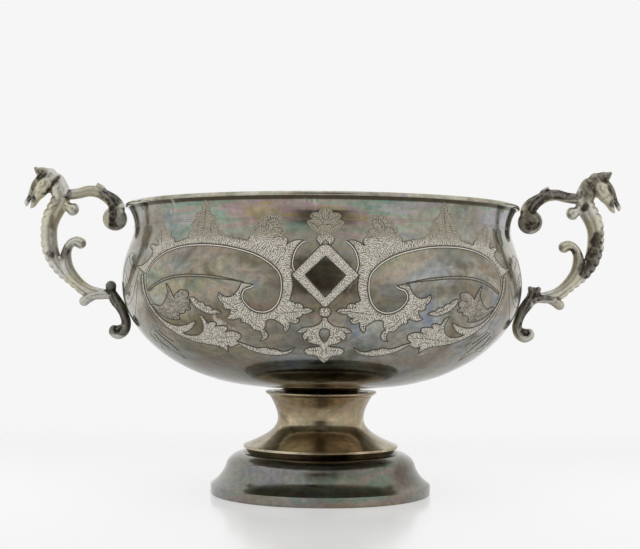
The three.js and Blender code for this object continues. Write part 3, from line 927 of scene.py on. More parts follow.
VEINS = [
    [(58, 65.6), (56.2, 63.8), (54.2, 62.2), (52, 60.4), (50, 58.6)],
    [(57, 65.8), (55.4, 64.3), (53.4, 62.8), (51.6, 61.6)],
    [(58.4, 64.4), (56.8, 62.6), (55, 60.8), (53, 59.6)],
    [(44.8, 76), (43, 74.4), (40.6, 73), (38, 72.2)],
    [(46.8, 62.9), (42.6, 62.6), (38.4, 63), (34.4, 63.4), (30.6, 63.6)],
    [(40.8, 68.6), (39.8, 66.4), (38.2, 64.2)],
    [(35.6, 66.4), (34.6, 64.8), (33.6, 63.6)],
    [(36.8, 61.6), (34.8, 62), (32.6, 61.4)],
    [(36.2, 78), (35.2, 76.2), (33.4, 74.8), (31.6, 73.8), (30, 72.4)],
    [(32.8, 71.2), (31.6, 71.2), (30.6, 72.2)],
    [(21.2, 66.4), (20.6, 64.4), (21.2, 62.9)],
    [(26.4, 70.4), (25.2, 69), (23.8, 67.6), (22.2, 66.8)],
    [(13.3, 68.4), (13.4, 66.6)],
    [(16.2, 71.4), (13.6, 71.8), (10.6, 72.2), (7.6, 72.5), (5.2, 72.6)],
    [(11, 74.4), (9.6, 73.6), (8.2, 73.6)],
    [(12.2, 69.8), (10.4, 69.2), (9.4, 69.4)],
    [(20.6, 101.2), (19.9, 103), (18.4, 104.2), (16.8, 104.1), (15.9, 103), (16.6, 101.8)],
    [(19.6, 100.8), (19.2, 102.2), (18.2, 103), (17.2, 102.8)],
    [(24, 100), (22.6, 101.4), (21, 101.4), (20.2, 100.2)],
    [(18.8, 99.4), (17.6, 100.8), (15.8, 100.9), (14.8, 99.8), (15.6, 98.8)],
    [(18.4, 97), (16.8, 98.2), (15, 97.8), (14.2, 96.6)],
    [(42, 99.6), (41.4, 102.6), (41.2, 105.6), (41, 108.2)],
    [(44.4, 99.4), (43.6, 101.2), (43.2, 103.2)],
    [(39.2, 99.4), (39.4, 101.4), (38.8, 103)],
    [(56, 94.8), (56.2, 97.2), (56.1, 100.2)],
    [(5.4, 102.8), (3.8, 102.2), (2.4, 100.9)],
    [(4.6, 105), (3, 104.6), (1.6, 103.6)],
    [(1.6, 106.8), (1.2, 105.4), (0.9, 103.8)],
    [(3, 101.6), (1.4, 102.2), (0.2, 102.2)],
    [(5.9, 63.4), (5.2, 64), (4.4, 63.8), (4.3, 62.9), (5, 62.5)],
    [(8.6, 65.9), (6.6, 66.2), (4.8, 65.8), (3.4, 64.6), (2.6, 63.2)],
    [(1.3, 60.2), (0.8, 59.2), (1.4, 58)],
    [(6, 59), (4.4, 59), (2.6, 59.2)],
    [(2, 57.2), (1.2, 56.6), (0.4, 56.6)],
]

SHADE_LINES = [
    [(68.4, 86), (67.2, 81.6), (66.4, 86.4)],
    [(68.6, 83.6), (67.4, 79.2), (66, 83.6)],
    [(68.6, 81.2), (67.4, 77.6), (66.2, 80.8)],
    [(68.5, 79), (67.4, 76.2), (66.4, 78.6)],
    [(67.2, 91), (66.6, 88), (65.6, 85.6)],
    [(57.6, 72.8), (54.6, 72.6), (51.6, 74), (49.4, 76.6)],
    [(56, 72), (53, 71.4), (50.4, 72.2), (48.4, 73.8)],
    [(53.6, 78.6), (53.2, 76.4), (52.2, 74.4)],
    [(50.6, 77.6), (50.8, 75.4), (51.8, 73.6)],
    [(48.6, 78.4), (49.2, 76.4), (50.4, 74.6)],
]


# The bowl's outside as a radius at each height, without its middle
BOWL_RADII, BOWL_HEIGHTS = np.array([tuple(point) for point in bowl_profile()[1:]]).T


def bowl_radius(height):
    return np.interp(height, BOWL_HEIGHTS, BOWL_RADII)


# Where the sight line from the camera through a point of the drawing meets the bowl, as
# distance round the belly from the front and height
def thrown(points):
    places = np.array(points, float)
    eye = np.array([0.0, -CAMERA_BACK, CAMERA_HEIGHT])
    aim = np.stack([DRAWING_MIDDLE - places[:, 0], np.full(len(places), -BELLY), places[:, 1]], axis=1)
    ray = aim - eye
    near = np.full(len(places), SEARCH_FROM)
    far = -(eye[0] * ray[:, 0] + eye[1] * ray[:, 1]) / (ray[:, 0] ** 2 + ray[:, 1] ** 2)
    for _ in range(SEARCH_STEPS):
        middle = (near + far) / 2
        spot = eye + ray * middle[:, None]
        inside = np.hypot(spot[:, 0], spot[:, 1]) < bowl_radius(spot[:, 2])
        far = np.where(inside, middle, far)
        near = np.where(inside, near, middle)
    spot = eye + ray * far[:, None]
    return np.stack([np.arctan2(spot[:, 0], -spot[:, 1]) * BELLY, spot[:, 2]], axis=1)


MIDDLE_ARC = thrown([(0, FRAME_HEIGHT)])[0][0]


# The bowl's skin unrolled: distance round the belly from the ornament's middle, and height
def flat(points):
    return thrown(points) - (MIDDLE_ARC, 0)


def stroke(points):
    length = sum(math.dist(a, b) for a, b in zip(points, points[1:]))
    return through(points, max(2, round(length / STROKE_STEP / (len(points) - 1))))


def outline(strokes):
    return flat(np.vstack([stroke(points)[:-1] for points in strokes]))


def mirrored(points):
    return points[::-1] * (-1, 1)


# A shape that is the same on both sides of the middle line, from its drawn half
def balanced(strokes):
    half = flat(np.vstack([stroke(points)[:-1] for points in strokes] + [strokes[-1][-1:]]))
    half[[0, -1], 0] = 0
    return np.vstack([half, mirrored(half)[1:-1]])


def paired(strokes):
    left = outline(strokes)
    return [left, mirrored(left)]


def paired_lines(lines):
    return [side for points in lines for side in (points, points * (-1, 1))]


# A line beside another one, to the right of its direction
def beside(points, distance):
    way = along_line(points)
    return points + np.stack([way[:, 1], -way[:, 0]], axis=1) * distance


# A strip along a line as a closed outline, narrowed towards the line's end
def strip(points, half_width):
    half = half_width * np.clip(np.linspace(ROPE_QUARTERS, 0, len(points)), ROPE_END, 1)[:, None]
    return np.vstack([beside(points, half), beside(points, -half)[::-1]])


# Places near the bowl, given on the unrolled skin, at a height above the skin
def on_bowl(points, lift):
    angle = (points[:, 0] + MIDDLE_ARC) / BELLY
    height = points[:, 1]
    slope = (bowl_radius(height + SLOPE_STEP) - bowl_radius(height - SLOPE_STEP)) / (2 * SLOPE_STEP)
    length = np.hypot(1, slope)
    out = bowl_radius(height) + lift / length
    return np.stack([out * np.sin(angle), -out * np.cos(angle), height - lift * slope / length], axis=1)


def inside_any(points, shapes):
    result = np.zeros(len(points), bool)
    for shape in shapes:
        crossed = np.zeros(len(points), bool)
        for (x1, y1), (x2, y2) in zip(shape, np.roll(shape, -1, axis=0)):
            if y1 != y2:
                spans = (y1 > points[:, 1]) != (y2 > points[:, 1])
                crossed ^= spans & (points[:, 0] < (x2 - x1) * (points[:, 1] - y1) / (y2 - y1) + x1)
        result |= crossed
    return result


# Cuts the union of some shapes, less some holes, into triangles
def triangles(shapes, holes):
    loops = list(shapes) + list(holes)
    points = np.vstack(loops)
    edges = []
    for loop in loops:
        places = len(edges) + np.arange(len(loop))
        edges += [(int(a), int(b)) for a, b in zip(places, np.roll(places, -1))]
    low = points.min(axis=0)
    high = points.max(axis=0)
    grid = np.array([
        (across + (row % 2) * FILL_SPACING / 2, up)
        for row, up in enumerate(np.arange(low[1], high[1], FILL_SPACING * ROW_RATIO))
        for across in np.arange(low[0], high[0], FILL_SPACING)
    ])
    sites = np.vstack([points, grid[inside_any(grid, shapes)]])
    verts, _, faces, *_ = delaunay_2d_cdt([Vector(site) for site in sites], edges, [], 0, 1e-5)
    verts = np.array([tuple(vert) for vert in verts])
    faces = np.array(faces)
    middles = verts[faces].mean(axis=1)
    kept = faces[inside_any(middles, shapes) & ~inside_any(middles, holes)]
    used, places = np.unique(kept, return_inverse=True)
    return verts[used], places.reshape(kept.shape)


def border(faces):
    edges = {(int(a), int(b)) for face in faces for a, b in zip(face, np.roll(face, -1))}
    return [(a, b) for a, b in edges if (b, a) not in edges]


# The way across a shape at each of its points: to the nearest point of its outline
def across_shape(verts, faces):
    rim = np.unique([a for a, _ in border(faces)])
    way = np.zeros_like(verts)
    for index in np.setdiff1d(np.arange(len(verts)), rim):
        gaps = verts[rim] - verts[index]
        nearest = gaps[np.argmin((gaps ** 2).sum(axis=1))]
        way[index] = nearest / np.linalg.norm(nearest)
    for a, b in border(faces):
        edge = verts[b] - verts[a]
        normal = np.array([edge[1], -edge[0]]) / max(np.linalg.norm(edge), 1e-9)
        way[a] += normal
        way[b] += normal
    angle = (verts[:, 0] + MIDDLE_ARC) / BELLY
    return np.stack([way[:, 0] * np.cos(angle), way[:, 0] * np.sin(angle), way[:, 1]], axis=1)


# The bowl's skin inside some shapes, open, to carry the hatching
def carrier(name, shapes, holes):
    verts, faces = triangles(shapes, holes)
    skin = new_object(name, on_bowl(verts, FILL_RELIEF), [tuple(face) for face in faces])
    attribute = skin.data.attributes.new("across", "FLOAT_VECTOR", "POINT")
    attribute.data.foreach_set("vector", across_shape(verts, faces).ravel())
    return skin


# A thin closed plate that fills some shapes, raised a little from the bowl's skin
def fill(name, shapes, holes):
    verts, faces = triangles(shapes, holes)
    count = len(verts)
    solid = [tuple(face) for face in faces] + [tuple(face[::-1] + count) for face in faces]
    solid += [(b, a, a + count, b + count) for a, b in border(faces)]
    both = np.vstack([on_bowl(verts, FILL_RELIEF), on_bowl(verts, FILL_ROOT)])
    return new_object(name, both, solid, smooth_angle=50)


# Lines on the bowl as a mesh of edges, to be drawn out into wire
def edge_lines(name, closed_lines, open_lines, lift):
    verts = []
    edges = []
    for points in [*closed_lines, *open_lines]:
        start = len(verts)
        verts.extend(on_bowl(points, lift))
        edges.extend((k, k + 1) for k in range(start, len(verts) - 1))
    start = 0
    for points in closed_lines:
        edges.append((start + len(points) - 1, start))
        start += len(points)
    mesh = bpy.data.meshes.new(name)
    mesh.from_pydata([tuple(vert) for vert in verts], edges, [])
    return linked(name, mesh)


# A geometry node tree with named inputs. Its maker gets the tree and the inputs' sockets, and
# returns the node that makes the shape, which is then realized and painted.
def node_tree(name, inputs, maker):
    tree = bpy.data.node_groups.new(name, "GeometryNodeTree")
    tree.interface.new_socket("Geometry", in_out="INPUT", socket_type="NodeSocketGeometry")
    for label, kind in inputs.items():
        tree.interface.new_socket(label, in_out="INPUT", socket_type=f"NodeSocket{kind}")
    tree.interface.new_socket("Geometry", in_out="OUTPUT", socket_type="NodeSocketGeometry")
    given = add_node(tree, "NodeGroupInput", {}).outputs
    realized = add_node(tree, "GeometryNodeRealizeInstances", {"Geometry": maker(tree, given)})
    inputs = {"Geometry": realized, "Material": given["Material"]}
    painted = add_node(tree, "GeometryNodeSetMaterial", inputs)
    add_node(tree, "NodeGroupOutput", {"Geometry": painted})
    return tree


# Runs a node tree on a piece and keeps what it makes as a plain mesh
def grown(piece, tree, values):
    modifier = piece.modifiers.new("grown", "NODES")
    modifier.node_group = tree
    for item in tree.interface.items_tree:
        if item.in_out == "INPUT" and item.name in values:
            modifier[item.identifier] = values[item.name]
    apply_modifiers(piece)
    piece.data.polygons.foreach_set("use_smooth", [True] * len(piece.data.polygons))
    return piece


# Draws each line of a mesh of edges out into a wire
def wire_maker(tree, given):
    lines = add_node(tree, "GeometryNodeMeshToCurve", {"Mesh": given["Geometry"]})
    sizes = {"Resolution": WIRE_SIDES, "Radius": given["Radius"]}
    section = add_node(tree, "GeometryNodeCurvePrimitiveCircle", sizes)
    inputs = {"Curve": lines, "Profile Curve": section, "Fill Caps": True}
    return add_node(tree, "GeometryNodeCurveToMesh", inputs)


# Distance to the edge of a shape, at each point
def room_beside(tree, shape):
    neighbours = add_node(tree, "GeometryNodeInputMeshEdgeNeighbors", {})
    outer = add_node(tree, "FunctionNodeCompare", {}, data_type="INT", operation="EQUAL")
    first, second = [socket for socket in outer.inputs if socket.identifier in ("A_INT", "B_INT")]
    feed(tree, first, neighbours.outputs["Face Count"])
    feed(tree, second, 1)
    inputs = {"Geometry": shape, "Selection": outer}
    edge = add_node(tree, "GeometryNodeSeparateGeometry", inputs, domain="EDGE")
    return add_node(tree, "GeometryNodeProximity", {0: edge}, target_element="EDGES").outputs["Distance"]


# Scatters short pointed cuts over a skin. Each lies along the skin's stored direction, across
# the shape, and ends at its outline.
def hatch_maker(tree, given):
    seed = given["Seed"]
    skin = given["Geometry"]
    inputs = {"Mesh": skin, "Distance Min": given["Spacing"], "Density Max": HATCH_DENSITY, "Seed": seed}
    scatter = add_node(tree, "GeometryNodeDistributePointsOnFaces", inputs, distribute_method="POISSON")
    stored = add_node(tree, "GeometryNodeInputNamedAttribute", {"Name": "across"}, data_type="FLOAT_VECTOR")
    inputs = {"Rotation": scatter.outputs["Rotation"], "Vector": stored.outputs["Attribute"]}
    turn = add_node(tree, "FunctionNodeAlignRotationToVector", inputs, axis="X", pivot_axis="Z")
    inputs = {"Min": given["Smallest"], "Max": given["Largest"], "Seed": seed}
    size = add_node(tree, "FunctionNodeRandomValue", inputs, data_type="FLOAT_VECTOR").outputs["Value"]
    sides = add_node(tree, "ShaderNodeSeparateXYZ", {"Vector": size}).outputs
    room = add_node(tree, "ShaderNodeMath", {0: room_beside(tree, skin), 1: OUTLINE_OVERLAP})
    shorter = add_node(tree, "ShaderNodeMath", {0: sides["X"], 1: room}, operation="MINIMUM")
    fitted = add_node(tree, "ShaderNodeCombineXYZ", {"X": shorter, "Y": sides["Y"], "Z": sides["Z"]})
    cut = add_node(tree, "GeometryNodeMeshUVSphere", {"Segments": 4, "Rings": 2, "Radius": 1.0})
    inputs = {"Points": scatter, "Instance": cut, "Rotation": turn, "Scale": fitted}
    return add_node(tree, "GeometryNodeInstanceOnPoints", inputs)


WIRE_TREE = node_tree("engraved_line", {"Radius": "Float", "Material": "Material"}, wire_maker)
HATCH_TREE = node_tree(
    "hatching",
    {"Spacing": "Float", "Seed": "Int", "Smallest": "Vector", "Largest": "Vector", "Material": "Material"},
    hatch_maker,
)


def wire(name, radius, material, closed_lines=(), open_lines=(), lift=0.0):
    values = {"Radius": radius, "Material": material}
    return grown(edge_lines(name, closed_lines, open_lines, lift), WIRE_TREE, values), material


def hatching(name, shapes, material, seed, spacing, longest, half_width):
    values = {
        "Spacing": spacing, "Seed": seed, "Material": material,
        "Smallest": (longest * SHORTEST, half_width * NARROWEST, CUT_HEIGHTS[0]),
        "Largest": (longest, half_width, CUT_HEIGHTS[1]),
    }
    return grown(carrier(name, *shapes), HATCH_TREE, values), material


# A line round the neck, at a depth below the lip
def neck_line(drop):
    sides = np.arange(0, 360, NECK_STEP)
    return np.stack([np.radians(sides) * BELLY, np.full(len(sides), RIM - drop)], axis=1)


# The ground of each filled part of the ornament
GROUNDS = {"leaves": FROSTED_SILVER, "frame": FRAME_SILVER, "ropes": FROSTED_SILVER, "flowers": DULL_SILVER}

# The cuts over it, with their seed, spacing, greatest length and half width
CUTS = [
    ("leaf_shading", "leaves", OUTLINE_SILVER, 3, 0.95, HATCH_LENGTH, 0.12),
    ("leaf_cuts", "leaves", BRIGHT_CUT_SILVER, 21, HATCH_SPACING, HATCH_LENGTH, HATCH_WIDTH),
    ("frame_shading", "frame", CUT_SILVER, 13, 0.6, 0.7, 0.10),
    ("frame_cuts", "frame", BRIGHT_CUT_SILVER, 34, HATCH_SPACING, HATCH_LENGTH, HATCH_WIDTH),
    ("rope_shading", "ropes", CUT_SILVER, 5, 0.55, 0.4, 0.1),
    ("flower_shading", "flowers", CUT_SILVER, 8, 0.6, 0.4, 0.1),
    ("flower_cuts", "flowers", BRIGHT_CUT_SILVER, 55, 1.0, 0.4, 0.1),
]


# The ornament of one side of the bowl
def engraving():
    diamond = balanced(DIAMOND_OUTSIDE)
    window = balanced(DIAMOND_INSIDE)
    eye = balanced(PALMETTE_EYE)
    leaves = paired(SCROLL) + paired(LEAFY_STEM) + paired(FEATHER)
    leaves += [balanced(CROWN), balanced(BALL), balanced(PALMETTE)]
    flowers = paired(FLOWER)
    ropes = [strip(rope, ROPE_HALF_WIDTH) for rope in paired_lines([flat(stroke(ROPE))])]
    edges = [flat(stroke(CURL[2])), flat(stroke(SPIKE[1]))]
    bright = [beside(edge, -BRIGHT_GAP) for edge in edges]
    doubled = [beside(edge, -DOUBLE_GAP) for edge in edges]
    veins = [flat(stroke(points)) for points in VEINS]
    stems = [flat(stroke(points)) for points in SHADE_LINES + LONG_STEMS]
    shapes = {
        "leaves": (leaves, [diamond, eye]), "frame": ([diamond], [window]), "ropes": (ropes, []),
        "flowers": (flowers, []),
    }
    made = [(fill(f"engraved_{part}", *shapes[part]), ground) for part, ground in GROUNDS.items()]
    made += [hatching(name, shapes[part], *cuts) for name, part, *cuts in CUTS]
    return made + [
        wire("outlines", OUTLINE, OUTLINE_SILVER, leaves + [diamond, window, eye] + flowers + ropes),
        wire("side_outlines", DOUBLE_LINE, GREY_CUT_SILVER, paired(SIDE_LEAF) + paired(ROSETTE)),
        wire("double_lines", DOUBLE_LINE, CUT_SILVER, open_lines=paired_lines(doubled)),
        wire("bright_lines", BRIGHT_LINE, BRIGHT_CUT_SILVER, open_lines=paired_lines(bright)),
        wire("veins", FINE_LINE, CUT_SILVER, open_lines=paired_lines(veins), lift=FILL_RELIEF),
        wire("stem_lines", DOUBLE_LINE, GREY_CUT_SILVER, open_lines=paired_lines(stems)),
    ]


def engraved_bowl():
    for side, turn in (("front", 0), ("back", math.pi)):
        for piece, material in engraving():
            piece.name = f"{side}_{piece.name}"
            piece.data.transform(Matrix.Rotation(turn, 4, "Z"))
            seat(piece, material, "bowl_silver")
    silvers = {"upper": GREY_CUT_SILVER, "lower": FROSTED_SILVER}
    for place, (drop, radius) in NECK_RINGS.items():
        piece, material = wire(f"{place}_neck_line", radius, silvers[place], [neck_line(drop)])
        seat(piece, material, "bowl_silver")


bowl_shell()
rim_wire()
socket_ring()
collar()
stem()
foot_dome()
foot_wire()
engraved_bowl()


# The handle castings. A station is [reach from the lip, rise from the rim, half width in the
# handle's plane, half depth across it].

BRACKET_TOP = {
    "left": [[[6.2, -32.3, 2.2, 2.6], [6.0, -34.6, 1.8, 2.9], [5.2, -36.2, 1.9, 3.0]]],
    "right": [
        [[5.0, -31.7, 0.9, 1.9], [5.8, -33.4, 1.8, 2.4], [5.6, -36.0, 2.0, 3.0]],
        [[6.6, -32.5, 1.3, 2.0], [6.5, -34.0, 2.1, 2.5], [5.8, -36.0, 2.1, 3.0]],
        [[8.4, -32.1, 1.1, 2.0], [7.4, -33.6, 2.0, 2.5], [6.6, -36.0, 2.2, 3.0]],
    ],
}
BRACKET_HUG = [
    [6.0, -34.6, 1.8, 2.9], [4.4, -37.6, 2.3, 3.4], [2.2, -40.6, 2.1, 3.8],
    [0.7, -43.8, 1.8, 3.9], [-0.1, -47.0, 1.9, 3.6], [0.7, -49.9, 2.1, 3.4], [2.8, -51.4, 2.1, 3.2],
    [4.6, -50.6, 2.1, 3.2], [4.7, -49.8, 2.0, 3.0],
]
BRACKET_SPUR = [
    [5.6, -35.6, 1.7, 2.6], [9.0, -35.7, 1.9, 2.6], [12.4, -36.0, 1.9, 2.7], [15.0, -37.0, 2.0, 2.8],
    [16.8, -38.4, 2.0, 2.5],
]
BRACKET_CURL = [[4.2, -49.9, 1.9, 2.9], [2.4, -49.2, 1.6, 2.7]]
HORSE_BACK = [
    [28.8, 9.0, 3.9, 3.0], [26.9, 5.0, 3.9, 3.5], [27.2, 1.4, 3.9, 3.7], [28.8, -1.8, 3.8, 3.7],
    [30.3, -4.8, 3.7, 3.6], [31.2, -8.6, 3.4, 3.5], [31.3, -12.6, 3.35, 3.5], [30.9, -16.6, 3.35, 3.4],
    [29.7, -20.6, 3.1, 3.2], [27.7, -24.3, 2.7, 2.9], [25.1, -27.6, 2.2, 2.6], [22.2, -30.4, 1.8, 2.3],
    [19.6, -32.7, 1.7, 2.2], [17.0, -34.8, 1.5, 2.0],
]
HORSE_HEAD = [
    [31.0, 12.2, 2.6, 2.4], [33.0, 9.2, 4.2, 3.5], [35.2, 6.6, 4.0, 3.4], [37.2, 3.8, 3.0, 2.7],
    [38.5, 1.4, 2.6, 2.3], [38.9, 0.9, 2.4, 2.1],
]
HORSE_EAR = [[32.4, 10.6, 2.4, 1.4], [34.6, 12.7, 2.2, 1.2], [36.7, 14.5, 0.8, 0.6]]
HORSE_MANE = [
    [25.2, 5.8, 0.9, 1.5], [25.7, 7.5, 1.4, 1.7], [28.0, 9.9, 1.5, 1.8], [31.0, 12.4, 1.7, 1.9],
    [33.6, 13.5, 1.6, 1.8], [36.0, 14.0, 1.1, 1.6],
]
HORSE_CHEST = [[27.4, 0.0, 2.2, 2.9], [24.0, -0.7, 1.8, 2.8], [22.0, -1.6, 2.7, 3.0]]
THUMB_SCROLL = [
    [18.6, -15.2, 2.3, 2.8], [20.3, -14.5, 2.0, 2.8], [22.4, -15.4, 1.8, 2.8], [23.8, -17.7, 1.9, 2.9],
    [24.4, -21.0, 2.3, 3.0], [23.8, -25.0, 2.6, 3.0], [21.6, -28.6, 2.5, 2.8], [18.2, -31.7, 2.0, 2.5],
    [14.6, -33.6, 1.6, 2.2], [11.2, -34.3, 1.3, 1.9],
]
THUMB_WEB = [
    [27.2, -21.2, 1.2, 2.2], [26.0, -24.6, 1.9, 2.6], [23.6, -27.6, 2.1, 2.6], [20.6, -30.4, 2.0, 2.4],
    [17.4, -32.8, 1.9, 2.2], [14.0, -34.4, 1.8, 2.0], [9.0, -35.0, 1.6, 1.9],
]
RIM_ARM = [
    [25.6, 4.4, 1.7, 1.9], [22.8, 4.3, 2.1, 2.7], [19.2, 4.8, 2.1, 2.8], [15.6, 5.7, 2.2, 2.9],
    [12.0, 5.4, 2.3, 3.0], [9.2, 4.3, 2.5, 3.1], [6.4, 2.3, 2.8, 3.2], [4.2, -0.6, 3.1, 3.2],
    [3.8, -3.8, 2.6, 3.0],
]
ARM_LEAF = [[10.0, 6.2, 1.6, 1.8], [11.6, 8.0, 1.0, 1.2], [12.4, 9.1, 0.3, 0.4]]
ARM_VOLUTE = [4.9, -5.3]
VOLUTE_RADIUS = 4.75
VOLUTE_HALF_DEPTH = 3.4
END_BULGE = (0.98, 0.85, 0.6, 0.3)
VOLUTE_FACE = [(0.05, 1.0), (0.3, 0.98), (0.6, 0.93), (0.85, 0.84), (0.96, 0.68), (1, 0.4)]
VOXEL = 0.3
LIMB_STEPS = 10
LIMB_SIDES = 20
BOSS_SIDES = 36

# A stain is full near its middle and fades from there
STAIN_STRENGTH = 1.9
STAIN_FADE = 1.2

# The hollow of a crease is measured against this depth, and spread over its surroundings
HOLLOW_DEPTH = 0.02
HOLLOW_ROUNDS = 5
HOLLOW_SPREAD = 0.6

# A fused skin is smoothed this many times, by this share
SMOOTH_ROUNDS = 2
SMOOTH_SHARE = 0.5


class Casting:
    """One casting of a handle: limbs that are fused into one skin, then chased."""

    def __init__(self, *limbs):
        self.verts = []
        self.faces = []
        for stations in limbs:
            self.limb(stations)

    # An oval of vertices about a centre, through the ends of two half axes
    def oval(self, centre, first, second, sides):
        start = len(self.verts)
        for side in range(sides):
            angle = 2 * math.pi * side / sides
            self.verts.append(centre + first * math.cos(angle) + second * math.sin(angle))
        return range(start, start + sides)

    def close(self, rings):
        self.faces += faces_between(rings) + [tuple(reversed(rings[0])), tuple(rings[-1])]

    # A limb with rounded ends. It may lie to one side of the handle's middle, and lean outwards.
    def limb(self, stations, depth=0.0, lean=0.0):
        rows = through(stations, LIMB_STEPS)
        ways = along_line(rows[:, :2])
        last = len(rows) - 1
        ends = [(share, math.sqrt(1 - share * share)) for share in END_BULGE]
        places = [(0, -share, shrink) for share, shrink in ends]
        places += [(index, 0.0, 1.0) for index in range(len(rows))]
        places += [(last, share, shrink) for share, shrink in reversed(ends)]
        rings = []
        for index, push, shrink in places:
            along, up = ways[index]
            half_width, half_depth = rows[index, 2:]
            reach, rise = rows[index, :2] + ways[index] * (push * half_width)
            centre = (LIP + reach, depth + lean * index / last, RIM + rise)
            outward = np.array([up, 0, -along]) * (half_width * shrink)
            across = np.array([0, half_depth * shrink, 0])
            rings.append(self.oval(centre, outward, across, LIMB_SIDES))
        self.close(rings)

    # A round boss turned about a line across the handle
    def boss(self, middle, radius, half_depth, face):
        front = [(out * radius, -up * half_depth) for out, up in face]
        rings = []
        for out, depth in front + [(out, -depth) for out, depth in reversed(front)]:
            centre = (LIP + middle[0], depth, RIM + middle[1])
            rings.append(self.oval(centre, np.array([out, 0, 0]), np.array([0, 0, out]), BOSS_SIDES))
        self.close(rings)

    # Fuses the limbs into one closed skin
    def fused(self, name, cutter=None):
        piece = new_object(name, self.verts, self.faces)
        if cutter:
            remesh(piece)
            cut = piece.modifiers.new("cut", "BOOLEAN")
            cut.operation = "DIFFERENCE"
            cut.object = cutter
            apply_modifiers(piece)
        remesh(piece)
        return Skin(piece)


def remesh(piece):
    modifier = piece.modifiers.new("skin", "REMESH")
    modifier.mode = "VOXEL"
    modifier.voxel_size = VOXEL
    modifier.use_smooth_shade = True
    apply_modifiers(piece)


# A property of each vertex or edge of a mesh as an array
def read(items, name, width, kind=float):
    values = np.empty(len(items) * width, kind)
    items.foreach_get(name, values)
    return values.reshape(-1, width)


class Skin:
    """The skin of a casting as arrays, smoothed, with the chaser's tools to work on it."""

    def __init__(self, piece):
        self.piece = piece
        mesh = piece.data
        self.points = read(mesh.vertices, "co", 3)
        self.edges = read(mesh.edges, "vertices", 2, int)
        count = len(self.points)
        self.degree = np.bincount(self.edges.ravel(), minlength=count)[:, None]
        self.stain_and_shade = np.zeros(count)
        self.film = np.zeros(count)
        for _ in range(SMOOTH_ROUNDS):
            self.points += SMOOTH_SHARE * (self.averaged(self.points) - self.points)
        self.refresh()

    def refresh(self):
        mesh = self.piece.data
        mesh.vertices.foreach_set("co", self.points.ravel())
        mesh.update()
        self.normals = read(mesh.vertices, "normal", 3)

    # The average of each point's neighbours
    def averaged(self, values):
        total = np.zeros_like(values)
        np.add.at(total, self.edges[:, 0], values[self.edges[:, 1]])
        np.add.at(total, self.edges[:, 1], values[self.edges[:, 0]])
        return total / self.degree

    # The skin's points in the handle's plane, as reach and rise from a place
    def plane(self, reach=0.0, rise=0.0):
        return self.points[:, [0, 2]] - (LIP, RIM) - (reach, rise)

    def press(self, gap, depth, stain_and_shade):
        fall = np.exp(-gap ** 2)
        self.points -= self.normals * (depth * fall)[:, None]
        self.stain_and_shade += stain_and_shade * fall

    def groove(self, stations, width, depth, stain_and_shade):
        path = through(stations, 8)
        nearest = np.full(len(self.points), np.inf)
        for start, end in zip(path, path[1:]):
            along = end - start
            places = self.plane(*start)
            share = np.clip((places @ along) / max(along @ along, 1e-9), 0, 1)
            nearest = np.minimum(nearest, np.linalg.norm(places - share[:, None] * along, axis=1))
        self.press(nearest / width, depth, stain_and_shade)

    def dimple(self, centre, radius, depth, stain_and_shade):
        self.press(np.linalg.norm(self.plane(*centre), axis=1) / radius, depth, stain_and_shade)

    # Distance of each point from the middle of a spot, in shares of the spot's radii
    def gap(self, reach, rise, across, along):
        return np.linalg.norm(self.plane(reach, rise) / (across, along), axis=1)

    # Adds the stains, the soft brown tone and the painted shade, and writes them down with how hollow
    # each spot is: above nothing in a crease, below it on an edge
    def finished(self, stains, tones_and_shades=()):
        for *spot, amount in stains:
            self.stain_and_shade += amount * np.clip(STAIN_STRENGTH - STAIN_FADE * self.gap(*spot), 0, 1)
        for *spot, amount in tones_and_shades:
            self.film += amount * np.exp(-self.gap(*spot) ** 2)
        self.refresh()
        hollow = ((self.averaged(self.points) - self.points) * self.normals).sum(axis=1)
        for _ in range(HOLLOW_ROUNDS):
            around = self.averaged(hollow[:, None])[:, 0]
            hollow = (1 - HOLLOW_SPREAD) * hollow + HOLLOW_SPREAD * around
        self.store("hollow", np.clip(hollow / HOLLOW_DEPTH, -1, 1))
        self.store("stain_and_shade", self.stain_and_shade)
        self.store("film", self.film)
        return self.piece

    def store(self, name, values):
        attribute = self.piece.data.attributes.new(name, "FLOAT", "POINT")
        attribute.data.foreach_set("value", values.astype(np.float32))


MOUTH = [[37.6, 4.4], [39.1, -2.2], [40.9, -1.6]]
MOUTH_CUT_HALF = 8


def mouth_cutter():
    corners = [(LIP + reach, RIM + rise) for reach, rise in MOUTH]
    verts = [(x, side, z) for side in (-MOUTH_CUT_HALF, MOUTH_CUT_HALF) for x, z in corners]
    faces = [(0, 1, 2), (5, 4, 3), (0, 3, 4, 1), (1, 4, 5, 2), (2, 5, 3, 0)]
    return new_object("mouth_cutter", verts, faces)


# Stains as [reach, rise, radius along the reach, radius along the rise, amount]
HORSE_STAINS = {
    "left": [
        [34.6, 12.2, 2.4, 2.0, 0.35], [28.6, -1.6, 1.2, 3.2, 0.35], [29.8, -9.0, 1.1, 4.0, 0.45],
        [30.0, -20.6, 1.5, 1.9, 0.6], [29.4, -18.4, 2.2, 2.6, 0.45], [22.6, 3.0, 1.8, 1.4, 0.7],
        [26.2, 2.8, 1.6, 1.2, 0.4], [38.2, 2.0, 1.6, 1.2, 0.9], [31.4, 11.6, 2.6, 0.9, 0.4],
    ],
    "right": [
        [34.4, 11.8, 2.6, 1.8, 0.15], [31.0, -12.2, 1.5, 3.2, 0.95], [30.6, -17.0, 2.6, 4.2, 1.1],
        [29.0, -21.6, 2.6, 3.2, 1.1], [27.0, -25.6, 1.8, 2.6, 0.9], [26.4, 0.7, 1.5, 1.5, 1.0],
        [22.2, 1.2, 1.2, 1.0, 0.9], [24.2, 5.7, 1.0, 1.6, 0.8], [29.4, 7.4, 2.0, 3.4, 0.45],
        [38.2, 2.2, 1.8, 1.4, 0.9], [33.4, -9.0, 0.8, 6.0, 0.35],
        [33.2, 6.8, 1.8, 3.0, -0.4],
    ],
}
